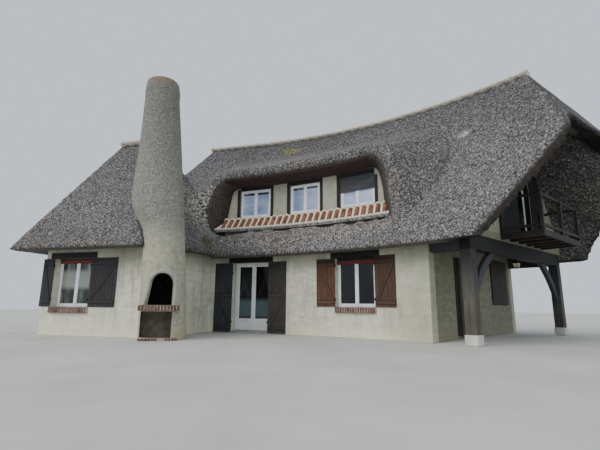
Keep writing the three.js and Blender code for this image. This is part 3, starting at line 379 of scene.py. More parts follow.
def patch(where, centre, reach, ragged):
    """Mask that is 1 at a centre (s, r, z) and fades to 0 at its reach, broken by a noise."""
    tree = where.id_data
    off = wire(tree, "ShaderNodeVectorMath", {0: where, 1: centre}, operation="SUBTRACT").outputs[0]
    off = scaled(off, [1 / r for r in reach])
    far = wire(tree, "ShaderNodeVectorMath", {0: off}, operation="LENGTH").outputs["Value"]
    return ramp(reckon("MULTIPLY_ADD", ragged, 1.6, reckon("SUBTRACT", 1.0, far)), 1.0, 1.5)


reed, shader, place = finish("weathered_reed", 0.95, 0.2)
straw, where = (kept_values(place, name) for name in ("straw", "place"))
cut, deep = (kept_values(place, name, "Fac") for name in ("cut", "deep"))
stalks = mottle(scaled(straw, (32, 21, 21)), 1.0, 3, 0.75)
tufts = mottle(scaled(straw, (15, 10, 10)), 1.0, 3, 0.65)
grain = reckon("MULTIPLY_ADD", stalks, 0.7, reckon("MULTIPLY", tufts, 0.3))
colour = shades(grain, (0.36, "232323"), (0.46, "575554"), (0.54, "8a8786"), (0.64, "d6d1c9"))
tint = shades(mottle(place, 0.35), (0.35, "8a8580"), (0.5, "9c9a99"), (0.66, "a3a2a4"))
colour = laid_over(0.6, colour, laid_over(1.0, colour, tint, "OVERLAY"))
colour = tinted(colour, ramp(on_axis(where, "Z"), 4.4, 7.6), 0.55, "a9adb6", "MULTIPLY")
ragged = mottle(place, 9, 5, 0.75)
lichen_grain = mottle(place, 12, 4, 0.7)
for centre, reach, share, factor, dark, light in (
        ((2.9, 1.4, 5.2), (0.8, 1.4, 1.3), 0.45, grain, "2c241d", "7a6f62"),
        ((-3.55, -0.3, 4.0), (1.15, 1.9, 1.75), 0.8, lichen_grain, "1f1d1a", "e9e6d2"),
        ((-3.02, -0.96, 2.84), (0.42, 0.5, 0.42), 0.75, grain, "3a3619", "8d8550"),
        ((-1.65, 2.7, 7.1), (0.6, 0.6, 0.4), 0.6, grain, "4e4a2c", "a39a68"),
        ((-0.4, 1.2, 5.4), (3.4, 1.9, 1.4), 0.6, grain, "3a3029", "bdae9d"),
        ((0.2, -0.1, 3.0), (4.4, 1.0, 0.9), 0.35, grain, "45413d", "d8d2c8"),
        ((4.31, 1.81, 5.87), (0.24, 0.26, 0.26), 0.75, grain, "86837a", "e6e2d8")):
    spread = reckon("MULTIPLY", patch(where, centre, reach, ragged), share)
    colour = laid_over(spread, colour, shades(factor, (0.44, dark), (0.6, light)))
# Painted shade: faces that look down, the undersides of the eaves, are painted darker, and near black on the
# porch side under the half-hip. The cut faces of brow and verge are darker for the reed's cut ends and, on
# the porch side, darker still as painted shade. The deep mask paints the brow's recess near black as painted
# shade.
under = ramp(on_axis(wire(place.id_data, "ShaderNodeNewGeometry").outputs["Normal"], "Z"), -0.5, -0.85)
porch = ramp(on_axis(where, "X"), 4.4, 5.0)
for mask, house_side, porch_side in ((under, ("3f3c3a", "7c7772"), ("171618", "2c2a2b")),
                                     (cut, ("36312d", "6d655e"), ("25211e", "4e4843"))):
    sides = [shades(grain, (0.38, dark), (0.62, light)) for dark, light in (house_side, porch_side)]
    colour = laid_over(mask, colour, laid_over(porch, *sides))
colour = laid_over(deep, colour, shades(grain, (0.38, "2d2926"), (0.62, "5d5651")))
dressed(shader, colour, (grain, 0.04, 0.9))
reed_coat.data.materials.clear()
reed_coat.data.materials.append(reed)

# Ridge: half-round clay tiles laid end to end over both ridges, bedded in pale mortar that swells out in a
# scalloped edge on each side and in a collar between one tile and the next.
RIDGE_TILE = 0.33
RIDGE_WIDE = 0.27
RIDGE_HIGH = 0.125
RIDGE_BED = 0.34
RIDGE_SHELL = 0.016
RIDGE_TAPER = np.array([1.04, 0.97, 0.80])


def stitched(rows, columns, round_rows=False):
    """Four-cornered faces of a grid of points in row order, closed round its columns, or its rows too."""
    a = np.arange(rows if round_rows else rows - 1)[:, None]
    b = np.arange(columns)[None, :]
    c = (b + 1) % columns
    d = (a + 1) % rows
    return np.stack([a * columns + b, a * columns + c, d * columns + c, d * columns + b], -1).reshape(-1, 4)


def capped(rows, columns):
    """Faces of a grid closed round its columns, with a flat face at its first and last row."""
    ends = [list(range(columns))[::-1], list(range((rows - 1) * columns, rows * columns))]
    return stitched(rows, columns).tolist() + ends


def carried(profile, path, across, up):
    """Profile carried along a path: profile point (a, b) lies at the path's point + a * across + b * up."""
    profile = np.asarray(profile, float)
    path, across, up = (np.broadcast_to(np.asarray(v, float), (len(path), 3)) for v in (path, across, up))
    if profile.ndim == 2:
        profile = profile[None]
    points = path[:, None] + profile[..., :1] * across[:, None] + profile[..., 1:] * up[:, None]
    return points.reshape(-1, 3), capped(*points.shape[:2])


def together(parts):
    """Several (points, faces), or (points, faces, values), as one."""
    faces = []
    start = 0
    for part in parts:
        faces += [[n + start for n in face] for face in part[1]]
        start += len(part[0])
    joined = np.concatenate([part[0] for part in parts]), faces
    return joined if len(parts[0]) == 2 else (*joined, np.concatenate([part[2] for part in parts]))


def made_piece(name, shape, material, body="house", stands_for=(), sharp=35):
    """Object of a (points, faces), turned to face outward by the sign of its volume, smooth but for edges
    over the sharp angle. Values, where there are any, are kept as the grain of its wood."""
    points, faces = shape[:2]
    fans = np.array([(f[0], f[n], f[n + 1]) for f in faces for n in range(1, len(f) - 1)])
    a, b, c = (points[fans[:, n]] for n in range(3))
    if np.einsum("ij,ij->i", a, np.cross(b, c)).sum() < 0:
        faces = [f[::-1] for f in faces]
    mesh = bpy.data.meshes.new(name)
    mesh.from_pydata(points.tolist(), [], faces)
    mesh.shade_smooth()
    mesh.set_sharp_from_angle(angle=math.radians(sharp))
    mesh.materials.append(material)
    if len(shape) == 3:
        keep(mesh, "grain", shape[2])
    made = set_out(name, mesh)
    take_piece(made, body, stands_for)
    return made


def headings(s):
    """Unit vectors of the plan at s: along the front, and into the house."""
    turn = np.maximum(np.asarray(s, float), ARC_START) / ARC_RADIUS
    zero = np.zeros_like(turn)
    return np.stack([np.cos(turn), -np.sin(turn), zero], -1), np.stack([np.sin(turn), np.cos(turn), zero], -1)


UP = np.array([0.0, 0.0, 1.0])


def half_round(wide, high, thick, steps=10):
    """Closed section of a half-round tile: an arch out and a smaller arch back."""
    angle = np.linspace(0, np.pi, steps)
    outer = np.stack([np.cos(angle) * wide / 2, np.sin(angle) * high], 1)
    inner = np.stack([np.cos(angle[::-1]) * (wide / 2 - thick), np.sin(angle[::-1]) * (high - thick)], 1)
    return np.concatenate([outer, inner])


def ridge_run(s0, s1, r, z):
    """Tiles and mortar bed along a level ridge from s0 to s1: each tile tapers and sits under the next one's
    lip; the bed's width and height follow a cosine with one wave to a tile."""
    count = max(2, round((s1 - s0) / RIDGE_TILE))
    ends = np.linspace(s0, s1, count + 1)
    tiles = []
    for n in range(count):
        line = np.array([ends[n] - 0.02, ends[n] + 0.03, ends[n + 1]])
        along, deep = headings(line)
        section = half_round(RIDGE_WIDE, RIDGE_HIGH, RIDGE_SHELL)[None] * RIDGE_TAPER[:, None, None]
        tilt = 0.005 * math.sin(n * 2.4)
        tiles.append(carried(section, on_plan(line, r, z + tilt), -deep, UP))
    steps = np.linspace(s0 - 0.06, s1 + 0.06, count * 8)
    wave = 0.5 + 0.5 * np.cos((steps - s0) / (s1 - s0) * count * 2 * np.pi)
    along, deep = headings(steps)
    angle = np.linspace(0, 2 * np.pi, 14, endpoint=False)
    ring = np.stack([np.cos(angle), np.sin(angle)], 1)
    path = on_plan(steps, r, z)
    size = np.stack([RIDGE_BED / 2 + 0.025 * wave + 0.012 * lumps(path, 0.09, 5), 0.070 + 0.055 * wave], 1)
    bed = carried(ring[None] * size[:, None], path, -deep, UP)
    return together(tiles), bed


mortar, shader, place = finish("ridge_mortar", 0.95)
crumb = mottle(place, 22, 5, 0.7)
dressed(shader, shades(crumb, (0.3, "958d80"), (0.5, "c9c0b3"), (0.7, "efe6da")), (crumb, 0.02, 0.8))

ridge_clay, shader, place = finish("ridge_clay", 0.9)
stain = mottle(place, 8, 5, 0.7)
colour = shades(stain, (0.3, "6a453b"), (0.44, "ad7e6b"), (0.53, "dfc8bb"), (0.62, "c4b489"),
                (0.75, "a9a49c"))
dressed(shader, colour, (mottle(place, 60, 3), 0.004, 0.6))

for name, s0, s1, r, z in (("main_ridge", -5.19, 5.46, 3.15, 7.738),
                           ("wing_ridge", -6.15, -4.79, -1.4, 6.262)):
    tiles, bed = ridge_run(s0, s1, r, z)
    made_piece(name + "_tiles", tiles, ridge_clay, stands_for=(name,))
    made_piece(name + "_mortar", bed, mortar)

# Walls: masonry with a trowelled, sand-coloured render, greyer under the eaves with painted shade, with fine
# vertical runs of damp, and yellowed by splashes near the ground. They keep their solids.


def new_group(name, inputs, outputs):
    """Empty node group with its inputs (name: value) and value outputs, and the sockets they have inside."""
    group = bpy.data.node_groups.new(name, "ShaderNodeTree")
    for label, value in inputs.items():
        kind = "NodeSocketFloat" if isinstance(value, float) else "NodeSocketVector"
        group.interface.new_socket(label, in_out="INPUT", socket_type=kind).default_value = value
    for label in outputs:
        group.interface.new_socket(label, in_out="OUTPUT", socket_type="NodeSocketFloat")
    return group, group.nodes.new("NodeGroupInput").outputs, group.nodes.new("NodeGroupOutput").inputs


def in_group(group, **sockets):
    """A node group placed in the tree of its sockets."""
    return wire(tree_of(*sockets.values()), "ShaderNodeGroup", sockets, node_tree=group).outputs


def join_outputs(wanted, **values):
    """Values joined to the outputs of a node group."""
    for label, value in values.items():
        value.id_data.links.new(value, wanted[label])


# Shade is painted shade: a darker band below the height Top, reaching down by Reach, broken by the runs.
weather, given, wanted = new_group("weather", {"Place": (0, 0, 0), "Top": 2.4, "Reach": 0.5},
                                   ("Runs", "Shade", "Splash", "Grit", "Blotch"))
height = on_axis(given["Place"], "Z")
runs = mottle(scaled(given["Place"], (5, 5, 0.55)), 1.0, 4, 0.65)
below = reckon("DIVIDE", reckon("SUBTRACT", given["Top"], height), given["Reach"])
blotch = mottle(given["Place"], 1.4, 5, 0.6)
join_outputs(wanted, Runs=ramp(runs, 0.5, 0.72), Blotch=blotch, Grit=mottle(given["Place"], 45, 4, 0.75),
             Shade=ramp(reckon("MULTIPLY_ADD", runs, -0.9, below), 0.75, -0.45),
             Splash=ramp(reckon("MULTIPLY_ADD", height, -1.3, blotch), -0.2, 0.55))

EAVE_SHADE_TOP = 2.45
EAVE_SHADE_REACH = 0.5
WING_FACE = -2.88
CHIMNEY_CORNER = tuple(on_plan(-4.6, WING_FACE, 2.25))


def wall_render(name, low, high, stained, splashed, damp=0.0):
    """Trowelled render between two tones, with damp of a third and splashed soil of a fourth; a share of damp
    darkens it to the right, where the verge of the roof sheds its water, and it is darker in the corner by
    the chimney."""
    made, shader, place = finish(name, 0.95)
    marks = in_group(weather, Place=place, Top=EAVE_SHADE_TOP, Reach=EAVE_SHADE_REACH)
    trowel = mottle(scaled(place, (1, 1, 2.2)), 3.4, 4, 0.6)
    colour = shades(trowel, (0.35, low), (0.65, high))
    # Shade lays the painted shade under the eaves on the render.
    for mark, share, code in (("Blotch", 0.35, stained), ("Runs", 0.5, "8a8979"), ("Shade", 0.6, "7d7a6b"),
                              ("Splash", 0.7, splashed)):
        colour = tinted(colour, marks[mark], share, code)
    if damp:
        wet = ramp(reckon("MULTIPLY_ADD", marks["Blotch"], 2.2, on_axis(place, "X")), 3.2, 4.6)
        colour = tinted(colour, wet, damp, "8a8a72")
        # Darker towards the corner by the chimney.
        off = wire(place.id_data, "ShaderNodeVectorMath", {0: place, 1: CHIMNEY_CORNER}, operation="DISTANCE")
        corner = ramp(reckon("MULTIPLY_ADD", marks["Runs"], -0.7, off.outputs["Value"]), 1.1, 0.1)
        colour = tinted(colour, corner, 0.6, "827f6c")
    dressed(shader, colour, (trowel, 0.012, 0.7), (marks["Grit"], 0.004, 0.6))
    return made


def coated(material, *nodes):
    """Gives nodes a material."""
    for node in nodes:
        mesh = solids[node].data
        mesh.materials.clear()
        mesh.materials.append(material)


render = wall_render("wall_render", "d2d1be", "f0eedd", "c3c1ad", "efe8cc", 0.45)
coated(render, "front_wall_left", "front_wall_over_door", "front_wall_right", "back_wall", "left_wall",
       "wing_front_wall", "wing_side_wall", "upper_gable_wall", "dormer_wall")
# Painted shade: the walls inside the porch get the render painted much darker, standing for the porch's
# shadow.
porch_render_painted_shade = wall_render("porch_render_painted_shade", "7e7c6a", "9b9986", "6f6c5b", "989079")
coated(porch_render_painted_shade, "gable_wall_front", "gable_wall_over_door", "gable_wall_rear", "upper_floor")

floated, shader, place = finish("floated_concrete", 0.9)
speck = mottle(place, 6, 5, 0.7)
dressed(shader, shades(speck, (0.3, "8f8c82"), (0.7, "b5b2a8")), (speck, 0.01, 0.5))
coated(floated, "ground_slab", "door_step")

# Chimney: a round, leaning stack of masonry, hung with a coarse thrown roughcast and trowelled smoother and
# paler at its foot, with lichen on its crown. Its hearth is an arched niche for a grill, blackened inside,
# with a smooth plaster surround, over a store for logs.
HEARTH_PLACE = (-3.2, -2.9)
HEARTH_TURN = 0.52
NICHE_MIDDLE = -0.06
NICHE_HALF = 0.33
NICHE_LEAN = 0.09
NICHE_FOOT = 0.86
NICHE_TOP = 1.66
STACK_RADIUS = 0.602
STACK_TAPER = 0.0233
FOOT_LEAN = 0.055
LEAN_BY_HEIGHT = 0.066
SHELF_LOW = 0.72


def unit_axes(turn):
    """Unit vectors of a frame turned by an angle about the vertical: its own x, and its own y."""
    return np.array([math.cos(turn), math.sin(turn), 0]), np.array([-math.sin(turn), math.cos(turn), 0])


def placed(local, origin, turn):
    """Points of a turned frame (x, y, z) put at its origin."""
    x_axis, y_axis = unit_axes(turn)
    local = np.asarray(local, float)
    return np.asarray(origin) + local[..., :1] * x_axis + local[..., 1:2] * y_axis + local[..., 2:] * UP


def put(shape, origin, turn):
    """Shape given in a turned frame, put at its origin."""
    return (placed(shape[0], origin, turn), *shape[1:])


def eased_copy(name, nodes, ease, material, body="house", steps=2):
    """Merged copy of solids whose flat faces are joined again and whose edges are rounded by a bevel."""
    shaped = bmesh.new()
    mesh = merged_solids(name, nodes)
    shaped.from_mesh(mesh)
    bmesh.ops.dissolve_limit(shaped, angle_limit=math.radians(1), verts=shaped.verts, edges=shaped.edges)
    shaped.to_mesh(mesh)
    shaped.free()
    mesh.materials.append(material)
    made = set_out(name, mesh)
    rounded = made.modifiers.new("eased", "BEVEL")
    rounded.width = ease
    rounded.segments = steps
    rounded.limit_method = "ANGLE"
    rounded.angle_limit = math.radians(30)
    mesh.shade_smooth()
    mesh.set_sharp_from_angle(angle=math.radians(40))
    take_piece(made, body, nodes)
    return made


roughcast, shader, place = finish("roughcast", 0.97, 0.25)
high = on_axis(place, "Z")
pebbles = mottle(place, 26, 3, 0.75)
clouds = mottle(place, 1.3, 4, 0.6)
coarse = shades(pebbles, (0.34, "5e5c54"), (0.47, "8f8d84"), (0.6, "a9a79e"), (0.7, "cccabf"))
coarse = laid_over(ramp(high, 3.6, 6.4, 0.5), coarse, paint("b4b9b3"), "MULTIPLY")
smooth = shades(mottle(place, 9, 4, 0.7), (0.35, "a3a08c"), (0.65, "c6c3b0"))
colour = laid_over(ramp(reckon("MULTIPLY_ADD", clouds, 0.9, high), 2.75, 3.6), smooth, coarse)
marks = in_group(weather, Place=place, Top=3.6, Reach=1.6)
colour = tinted(colour, marks["Runs"], 0.35, "77766b")
colour = tinted(colour, marks["Splash"], 0.6, "c9b98f")
crown = ramp(reckon("MULTIPLY_ADD", mottle(place, 7, 5, 0.7), 1.5, high), 7.85, 8.2)
dressed(shader, tinted(colour, crown, 0.75, "9c7148"), (pebbles, 0.03, 0.9), (clouds, 0.03, 0.5))

soot, shader, place = finish("soot", 0.95, 0.1)
black = shades(mottle(place, 8, 4, 0.7), (0.35, "0b0a0a"), (0.7, "26221f"))
bare = shades(mottle(place, 5, 4, 0.7), (0.35, "5a564d"), (0.7, "7e796d"))
dressed(shader, laid_over(ramp(on_axis(place, "Z"), SHELF_LOW, SHELF_LOW + 0.06), bare, black))

stack = eased_copy("chimney_stack", ("chimney",), 0.02, roughcast)
stack.data.materials.append(soot)
hearth_origin = on_plan(HEARTH_PLACE[0], HEARTH_PLACE[1], 0.0)
hearth_turn = -HEARTH_PLACE[0] / ARC_RADIUS + HEARTH_TURN
hearth_x, hearth_y = unit_axes(hearth_turn)
off = read_out(stack.data.polygons, "center", 3) - hearth_origin
sideways = off @ hearth_x
around = off @ hearth_y
within = np.hypot(off[:, 0], off[:, 1]) < 0.93 * (STACK_RADIUS - STACK_TAPER * off[:, 2])
in_hearth = (off[:, 2] < NICHE_TOP + 0.02) & (sideways > -0.52) & (sideways < 0.3) & (around < -0.05) & within
stack.data.polygons.foreach_set("material_index", in_hearth.astype(int))


def on_stack(x, z, past):
    """Point of the chimney's front at x to the side of the hearth's axis, past the masonry by a distance: the
    stack's radius narrows with height, and its middle leans."""
    radius = STACK_RADIUS - STACK_TAPER * z
    lean = FOOT_LEAN - LEAN_BY_HEIGHT * z
    side = np.clip(x - lean * math.cos(HEARTH_TURN), -radius * 0.98, radius * 0.98)
    deep = -np.sqrt(radius ** 2 - side ** 2) - lean * math.sin(HEARTH_TURN)
    return placed(np.stack([x + past * side / radius, deep - past, z], -1), hearth_origin, hearth_turn)


def niche_rim(margin, steps=30):
    """Outline of the niche widened by a margin: up its leaning left jamb, over the arch, down the right."""
    left = NICHE_MIDDLE - NICHE_HALF
    right = NICHE_MIDDLE + NICHE_HALF
    round_half = NICHE_HALF - NICHE_LEAN / 2
    middle = NICHE_MIDDLE + NICHE_LEAN / 2
    spring = NICHE_TOP - round_half
    angle = np.linspace(np.pi, 0, steps)
    arch = (middle, spring) + (round_half + margin) * np.stack([np.cos(angle), np.sin(angle)], 1)
    rise = np.linspace(NICHE_FOOT, spring, 8)[:-1]
    up = np.stack([left - margin + NICHE_LEAN * (rise - NICHE_FOOT) / (spring - NICHE_FOOT), rise], 1)
    down = np.stack([np.full(7, right + margin), rise[::-1]], 1)
    return np.concatenate([up, arch, down])


plaster, shader, place = finish("trowelled_plaster", 0.9)
wave = mottle(place, 11, 4, 0.65)
colour = tinted(shades(wave, (0.35, "a5a394"), (0.65, "c2c0b1")), mottle(place, 3, 4, 0.7), 0.3, "8d897b")
dressed(shader, colour, (wave, 0.012, 0.7))
SURROUND = ((0.002, -0.06), (0.006, 0.012), (0.02, 0.03), (0.06, 0.036), (0.10, 0.026), (0.115, -0.03))
rims = [(niche_rim(margin), past) for margin, past in SURROUND]
band = np.stack([on_stack(rim[:, 0], rim[:, 1], past) for rim, past in rims], 1)
made_piece("niche_surround", (band.reshape(-1, 3), capped(*band.shape[:2])), plaster)

# Brickwork: hard red bricks laid on edge in pale mortar. They make the hearth shelf, the kerb of the log
# store and the sills under the windows, each brick a little out of line with the next.
BRICK_WIDE = 0.066
JOINT = 0.012
FRONT_WINDOW = (1.08, 1.26)
WING_WINDOW = (-6.92, 1.30)


def eased(a0, a1, b0, b1, ease):
    """Closed outline of a rectangle with its corners cut off by an ease."""
    return [(a0 + ease, b0), (a1 - ease, b0), (a1, b0 + ease), (a1, b1 - ease),
            (a1 - ease, b1), (a0 + ease, b1), (a0, b1 - ease), (a0, b0 + ease)]


def eased_block(x0, x1, y0, y1, z0, z1, ease=0.004):
    """Block with its edges cut off by an ease: rings of eight points at four heights, the end ones inset."""
    rows = []
    for z, inset in ((z0, ease), (z0 + ease, 0), (z1 - ease, 0), (z1, ease)):
        ring = eased(x0 + inset, x1 - inset, y0 + inset, y1 - inset, ease)
        rows += [(x, y, z) for x, y in ring]
    return np.array(rows), capped(4, 8)


def brick_row(length, deep, high, seed, wide=BRICK_WIDE):
    """Bricks side by side along x from 0 to a length, each nudged in y and z, and the mortar between them."""
    draw = np.random.default_rng(seed)
    count = max(2, round(length / (wide + JOINT)))
    step = length / count
    bricks = []
    for n in range(count):
        y, z, slack = draw.uniform(-0.003, 0.003, 3)
        ends = n * step + JOINT / 2, (n + 1) * step - JOINT / 2 + slack
        bricks.append(eased_block(*ends, y, deep, 0.0, high + z))
    bed = eased_block(0.004, length - 0.004, 0.008, deep - 0.002, 0.004, high - 0.007)
    return together(bricks), bed


brick, shader, place = finish("brick", 0.88)
each = mottle(place, 9, 1, 0.4)
fine = mottle(place, 60, 4, 0.7)
colour = shades(each, (0.32, "3a2724"), (0.45, "5d382e"), (0.55, "73493b"), (0.7, "6b5a53"))
dressed(shader, tinted(colour, fine, 0.3, "958a80"), (fine, 0.004, 0.7))


def heading_turn(s):
    """Turn about the vertical of a piece that stands square to the front at s."""
    return -max(s, ARC_START) / ARC_RADIUS


def middle_of(opening):
    """Middle of an opening that is given by its left edge and its width."""
    return opening[0] + opening[1] / 2


window_middle = middle_of(FRONT_WINDOW)
wing_middle = middle_of(WING_WINDOW)
for seed, name, nodes, length, deep, high, corner, base, turn in (
        (3, "hearth_bricks", ("hearth_shelf",), 0.99, 0.62, 0.134, (-0.535, -0.717, SHELF_LOW + 0.001),
         hearth_origin, hearth_turn),
        (4, "hearth_kerb", (), 0.94, 0.12, 0.05, (-0.50, -0.62, 0.003), hearth_origin, hearth_turn),
        (5, "front_sill_bricks", ("window_sill",), 1.28, 0.17, 0.155, (-0.64, -0.068, 0.676),
         on_plan(window_middle, 0, 0), heading_turn(window_middle)),
        (6, "wing_sill_bricks", ("wing_sill",), 1.32, 0.24, 0.155, (-0.66, -0.068, 0.621),
         on_plan(wing_middle, WING_FACE, 0), heading_turn(wing_middle))):
    row, bed = brick_row(length, deep, high, seed)
    origin = placed(corner, base, turn)
    made_piece(name, put(row, origin, turn), brick, stands_for=nodes)
    made_piece(name + "_mortar", put(bed, origin, turn), mortar)

# Windows: white plastic frames with mitred corners, each with two sashes that meet in the middle, double
# glazing held by a sloped bead, and a drip rail along the foot. Each is set into its opening on the sill.
FRAME_DEEP = 0.07
FRAME_SIGHT = 0.052
SASH_SIGHT = 0.058
SASH_LAP = 0.012
SASH_PLAY = 0.0015
FRONT_REBATE = 0.11
WING_REBATE = -2.69
FRONT_HEAD = 2.25
WING_HEAD = 2.17
DORMERS = ((-2.56, 1.17), (-0.70, 1.11), (1.08, 1.18))
DORMER_REBATE = 0.355
DORMER_SILL = 3.84
DORMER_HEAD = 4.83
GABLE_S = 3.9
GABLE_WINDOW = (4.20, 1.45)
UPPER_GABLE_S = 5.0
BALCONY_DOOR = (2.35, 1.60)
BALCONY_DOOR_HEAD = 4.88


def mitred(x0, x1, z0, z1, profile):
    """Frame with four mitred corners; a point of its profile is (in from the edge, depth)."""
    a, b = np.asarray(profile, float).T
    corners = [(x0 + a, z0 + a), (x1 - a, z0 + a), (x1 - a, z1 - a), (x0 + a, z1 - a)]
    points = np.stack([np.stack([x, b, z], -1) for x, z in corners])
    return points.reshape(-1, 3), stitched(4, len(profile), True).tolist()


def sash(x0, x1, z0, z1, front, sight=SASH_SIGHT):
    """Sash: its frame, with a bead that slopes in to the glass, and the pane."""
    bead = [(0.003, 0), (sight - 0.016, 0), (sight, 0.014), (sight, 0.046), (sight - 0.01, 0.056),
            (0.003, 0.056), (0, 0.053), (0, 0.003)]
    inset = sight - 0.004
    sheet = eased_block(x0 + inset, x1 - inset, front + 0.020, front + 0.034, z0 + inset, z1 - inset, 0.002)
    return mitred(x0, x1, z0, z1, [(a, front + b) for a, b in bead]), sheet


def window_parts(wide, high):
    """Frame, two sashes, drip rail and meeting rail of a window from its lower left corner, and its panes."""
    lap = FRAME_SIGHT - SASH_LAP
    middle = wide / 2
    rings, panes = zip(*(sash(x0 + SASH_PLAY, x1 - SASH_PLAY, lap, high - lap, 0.002)
                         for x0, x1 in ((lap, middle), (middle, wide - lap))))
    joinery = together([
        mitred(0, wide, 0, high, eased(0, FRAME_SIGHT, 0.012, FRAME_DEEP, 0.004)), *rings,
        eased_block(0.01, wide - 0.01, 0.0, 0.03, 0.008, 0.034),
        eased_block(middle - 0.022, middle + 0.022, 0.0004, 0.006, FRAME_SIGHT, high - FRAME_SIGHT, 0.002)])
    return joinery, together(panes)


white, shader, place = finish("white_plastic", 0.42)
dressed(shader, shades(mottle(place, 4, 4, 0.65), (0.35, "dfe3e4"), (0.6, "f4f6f7")),
        (mottle(place, 90, 2), 0.0006, 0.4))
place.id_data.links.new(shades(mottle(place, 30, 3), (0.3, 0.34), (0.7, 0.5)), shader.inputs["Roughness"])


def pane(name, stops, scale, gleam=0.5, band=None, shade=None, soft=0.03):
    """Glass with its look painted into its colour: a cloudy mix of tones, with a soft band of another tone
    between two heights.
    """
    made, shader, place = finish(name, 0.05, gleam)
    colour = shades(mottle(scaled(place, scale), 1.0, 4, 0.55), *stops)
    if band:
        low, high = band
        z = on_axis(place, "Z")
        colour = tinted(colour, ramp(z, low, low + soft), ramp(z, high, high - soft), shade)
    dressed(shader, colour, (mottle(place, 1.2, 1), 0.01, 0.15))
    return made


# Painted reflection and shade: the upper windows are painted the pale blue of the sky they reflect, with a
# dark band at the top for the reflected underside of the brow; the door glass is near black with a pale teal
# patch low down, a painted reflection; the lower windows are painted near black for the dark room behind,
# with faint green painted reflections.
glass = pane("window_glass", [(0.4, "040505"), (0.53, "0e140e"), (0.64, "33402f")], (1.8, 1.8, 1.0), 0.4)
sky_glass = pane("upper_window_glass", [(0.36, "8292b6"), (0.5, "a3b1d4"), (0.64, "c9d3ee")], (0.9, 0.9, 1.6),
                 0.9, (4.64, 5.2), "20242c")
door_glass = pane("door_glass", [(0.42, "0b0c0e"), (0.54, "1d1e24"), (0.68, "3c4350")], (3.4, 3.4, 1.2), 0.5,
                  (0.40, 1.12), "59686e", 0.16)
curtained = pane("curtained_glass", [(0.4, "1c211c"), (0.55, "4a5248"), (0.66, "7b8177")], (4, 4, 1.0), 0.5,
                 (1.25, 1.9), "8a9186", 0.14)


def side_place(s, out, deep, z):
    """Point by a side wall that runs back square to the front at s: out of it, along it inwards, up."""
    return placed((out, deep, z), on_plan(s, 0, 0), heading_turn(s))


def fit_window(node, wide, high, origin, turn, pane_material):
    """Window put into its opening: its origin is its lower outer corner, left as seen from outside."""
    joinery, panes = window_parts(wide, high)
    made_piece(node + "_frame", put(joinery, origin, turn), white, stands_for=(node,))
    made_piece(node + "_glass", put(panes, origin, turn), pane_material)


openings = [("front_window", FRONT_WINDOW, FRONT_REBATE, 0.835, FRONT_HEAD, glass),
            ("wing_window", WING_WINDOW, WING_REBATE, 0.78, WING_HEAD, curtained)]
openings += [(f"dormer_window_{n}", dormer, DORMER_REBATE, DORMER_SILL, DORMER_HEAD, sky_glass)
             for n, dormer in enumerate(DORMERS, 1)]
for node, opening, r, low, high, pane_material in openings:
    middle = middle_of(opening)
    half = opening[1] / 2 - 0.004
    turn = heading_turn(middle)
    origin = placed((-half, 0, low + 0.001), on_plan(middle, r, 0), turn)
    fit_window(node, 2 * half, high - low - 0.002, origin, turn, pane_material)
middle = 0.75
half = 0.445
turn = heading_turn(middle)
origin = placed((half, FRAME_DEEP, 0.836), on_plan(middle, 6.12, 0), turn)
fit_window("back_window", 2 * half, 1.413, origin, turn + math.pi, glass)
for node, s, opening, low, high in (("gable_window", GABLE_S, GABLE_WINDOW, 0.93, 2.40),
                                    ("balcony_door", UPPER_GABLE_S, BALCONY_DOOR, 2.82, BALCONY_DOOR_HEAD)):
    origin = side_place(s, -0.11, opening[0] + 0.004, low + 0.001)
    fit_window(node, opening[1] - 0.008, high - low - 0.002, origin, heading_turn(s) + math.pi / 2, glass)

# Roller shutter of the right dormer window: ribbed slats of dark grey plastic, let down over the upper half,
# with a bottom rail, hung in front of the glass from the head of the opening.
SLAT_RISE = 0.037
SLAT_SWELL = 0.006
CURTAIN_LOW = 4.333
CURTAIN_HIGH = DORMER_HEAD - 0.005
CURTAIN_HALF = 0.585
CURTAIN_MIDDLE = middle_of(DORMERS[2])
heights = np.linspace(CURTAIN_LOW, CURTAIN_HIGH, 14 * 6 + 1)
phase = (heights - CURTAIN_LOW) / SLAT_RISE % 1
front = -0.010 - SLAT_SWELL * np.sin(np.pi * np.clip(phase / 0.86, 0, 1))
front[heights < CURTAIN_LOW + 0.03] = -0.0155
outline = np.stack([np.append(front, [-0.003, -0.003]), np.append(heights, [CURTAIN_HIGH, CURTAIN_LOW])], 1)
ends = CURTAIN_HALF * np.array([-1, -1, 1, 1]) + np.array([0, 0.01, -0.01, 0])
slats = carried(outline, [(x, 0, 0) for x in ends], (0, 1, 0), UP)
shutter_grey, shader, place = finish("grey_slats", 0.55)
dressed(shader, shades(mottle(scaled(place, (2, 2, 9)), 1.0, 4), (0.35, "2a2b30"), (0.65, "404147")),
        (mottle(place, 70, 2), 0.001, 0.4))
slats = put(slats, on_plan(CURTAIN_MIDDLE, DORMER_REBATE, 0), heading_turn(CURTAIN_MIDDLE))
made_piece("roller_slats", slats, shutter_grey, stands_for=("roller_shutter",), sharp=20)

# Stained wood: oak in stains from blue black to worn red, gone grey and split along its grain where rain
# reaches it. Every lintel, post, board and shutter is made of it.
wood, given, wanted = new_group("wood_grain", {"Grain": (0, 0, 0)}, ("Streak", "Split", "Fade"))
join_outputs(wanted, Streak=mottle(scaled(given["Grain"], (1.6, 26, 26)), 1.0, 4, 0.7),
             Split=ramp(mottle(scaled(given["Grain"], (0.7, 40, 40)), 1.0, 2, 0.5), 0.66, 0.72),
             Fade=mottle(scaled(given["Grain"], (1.1, 3, 3)), 1.0, 4, 0.65))


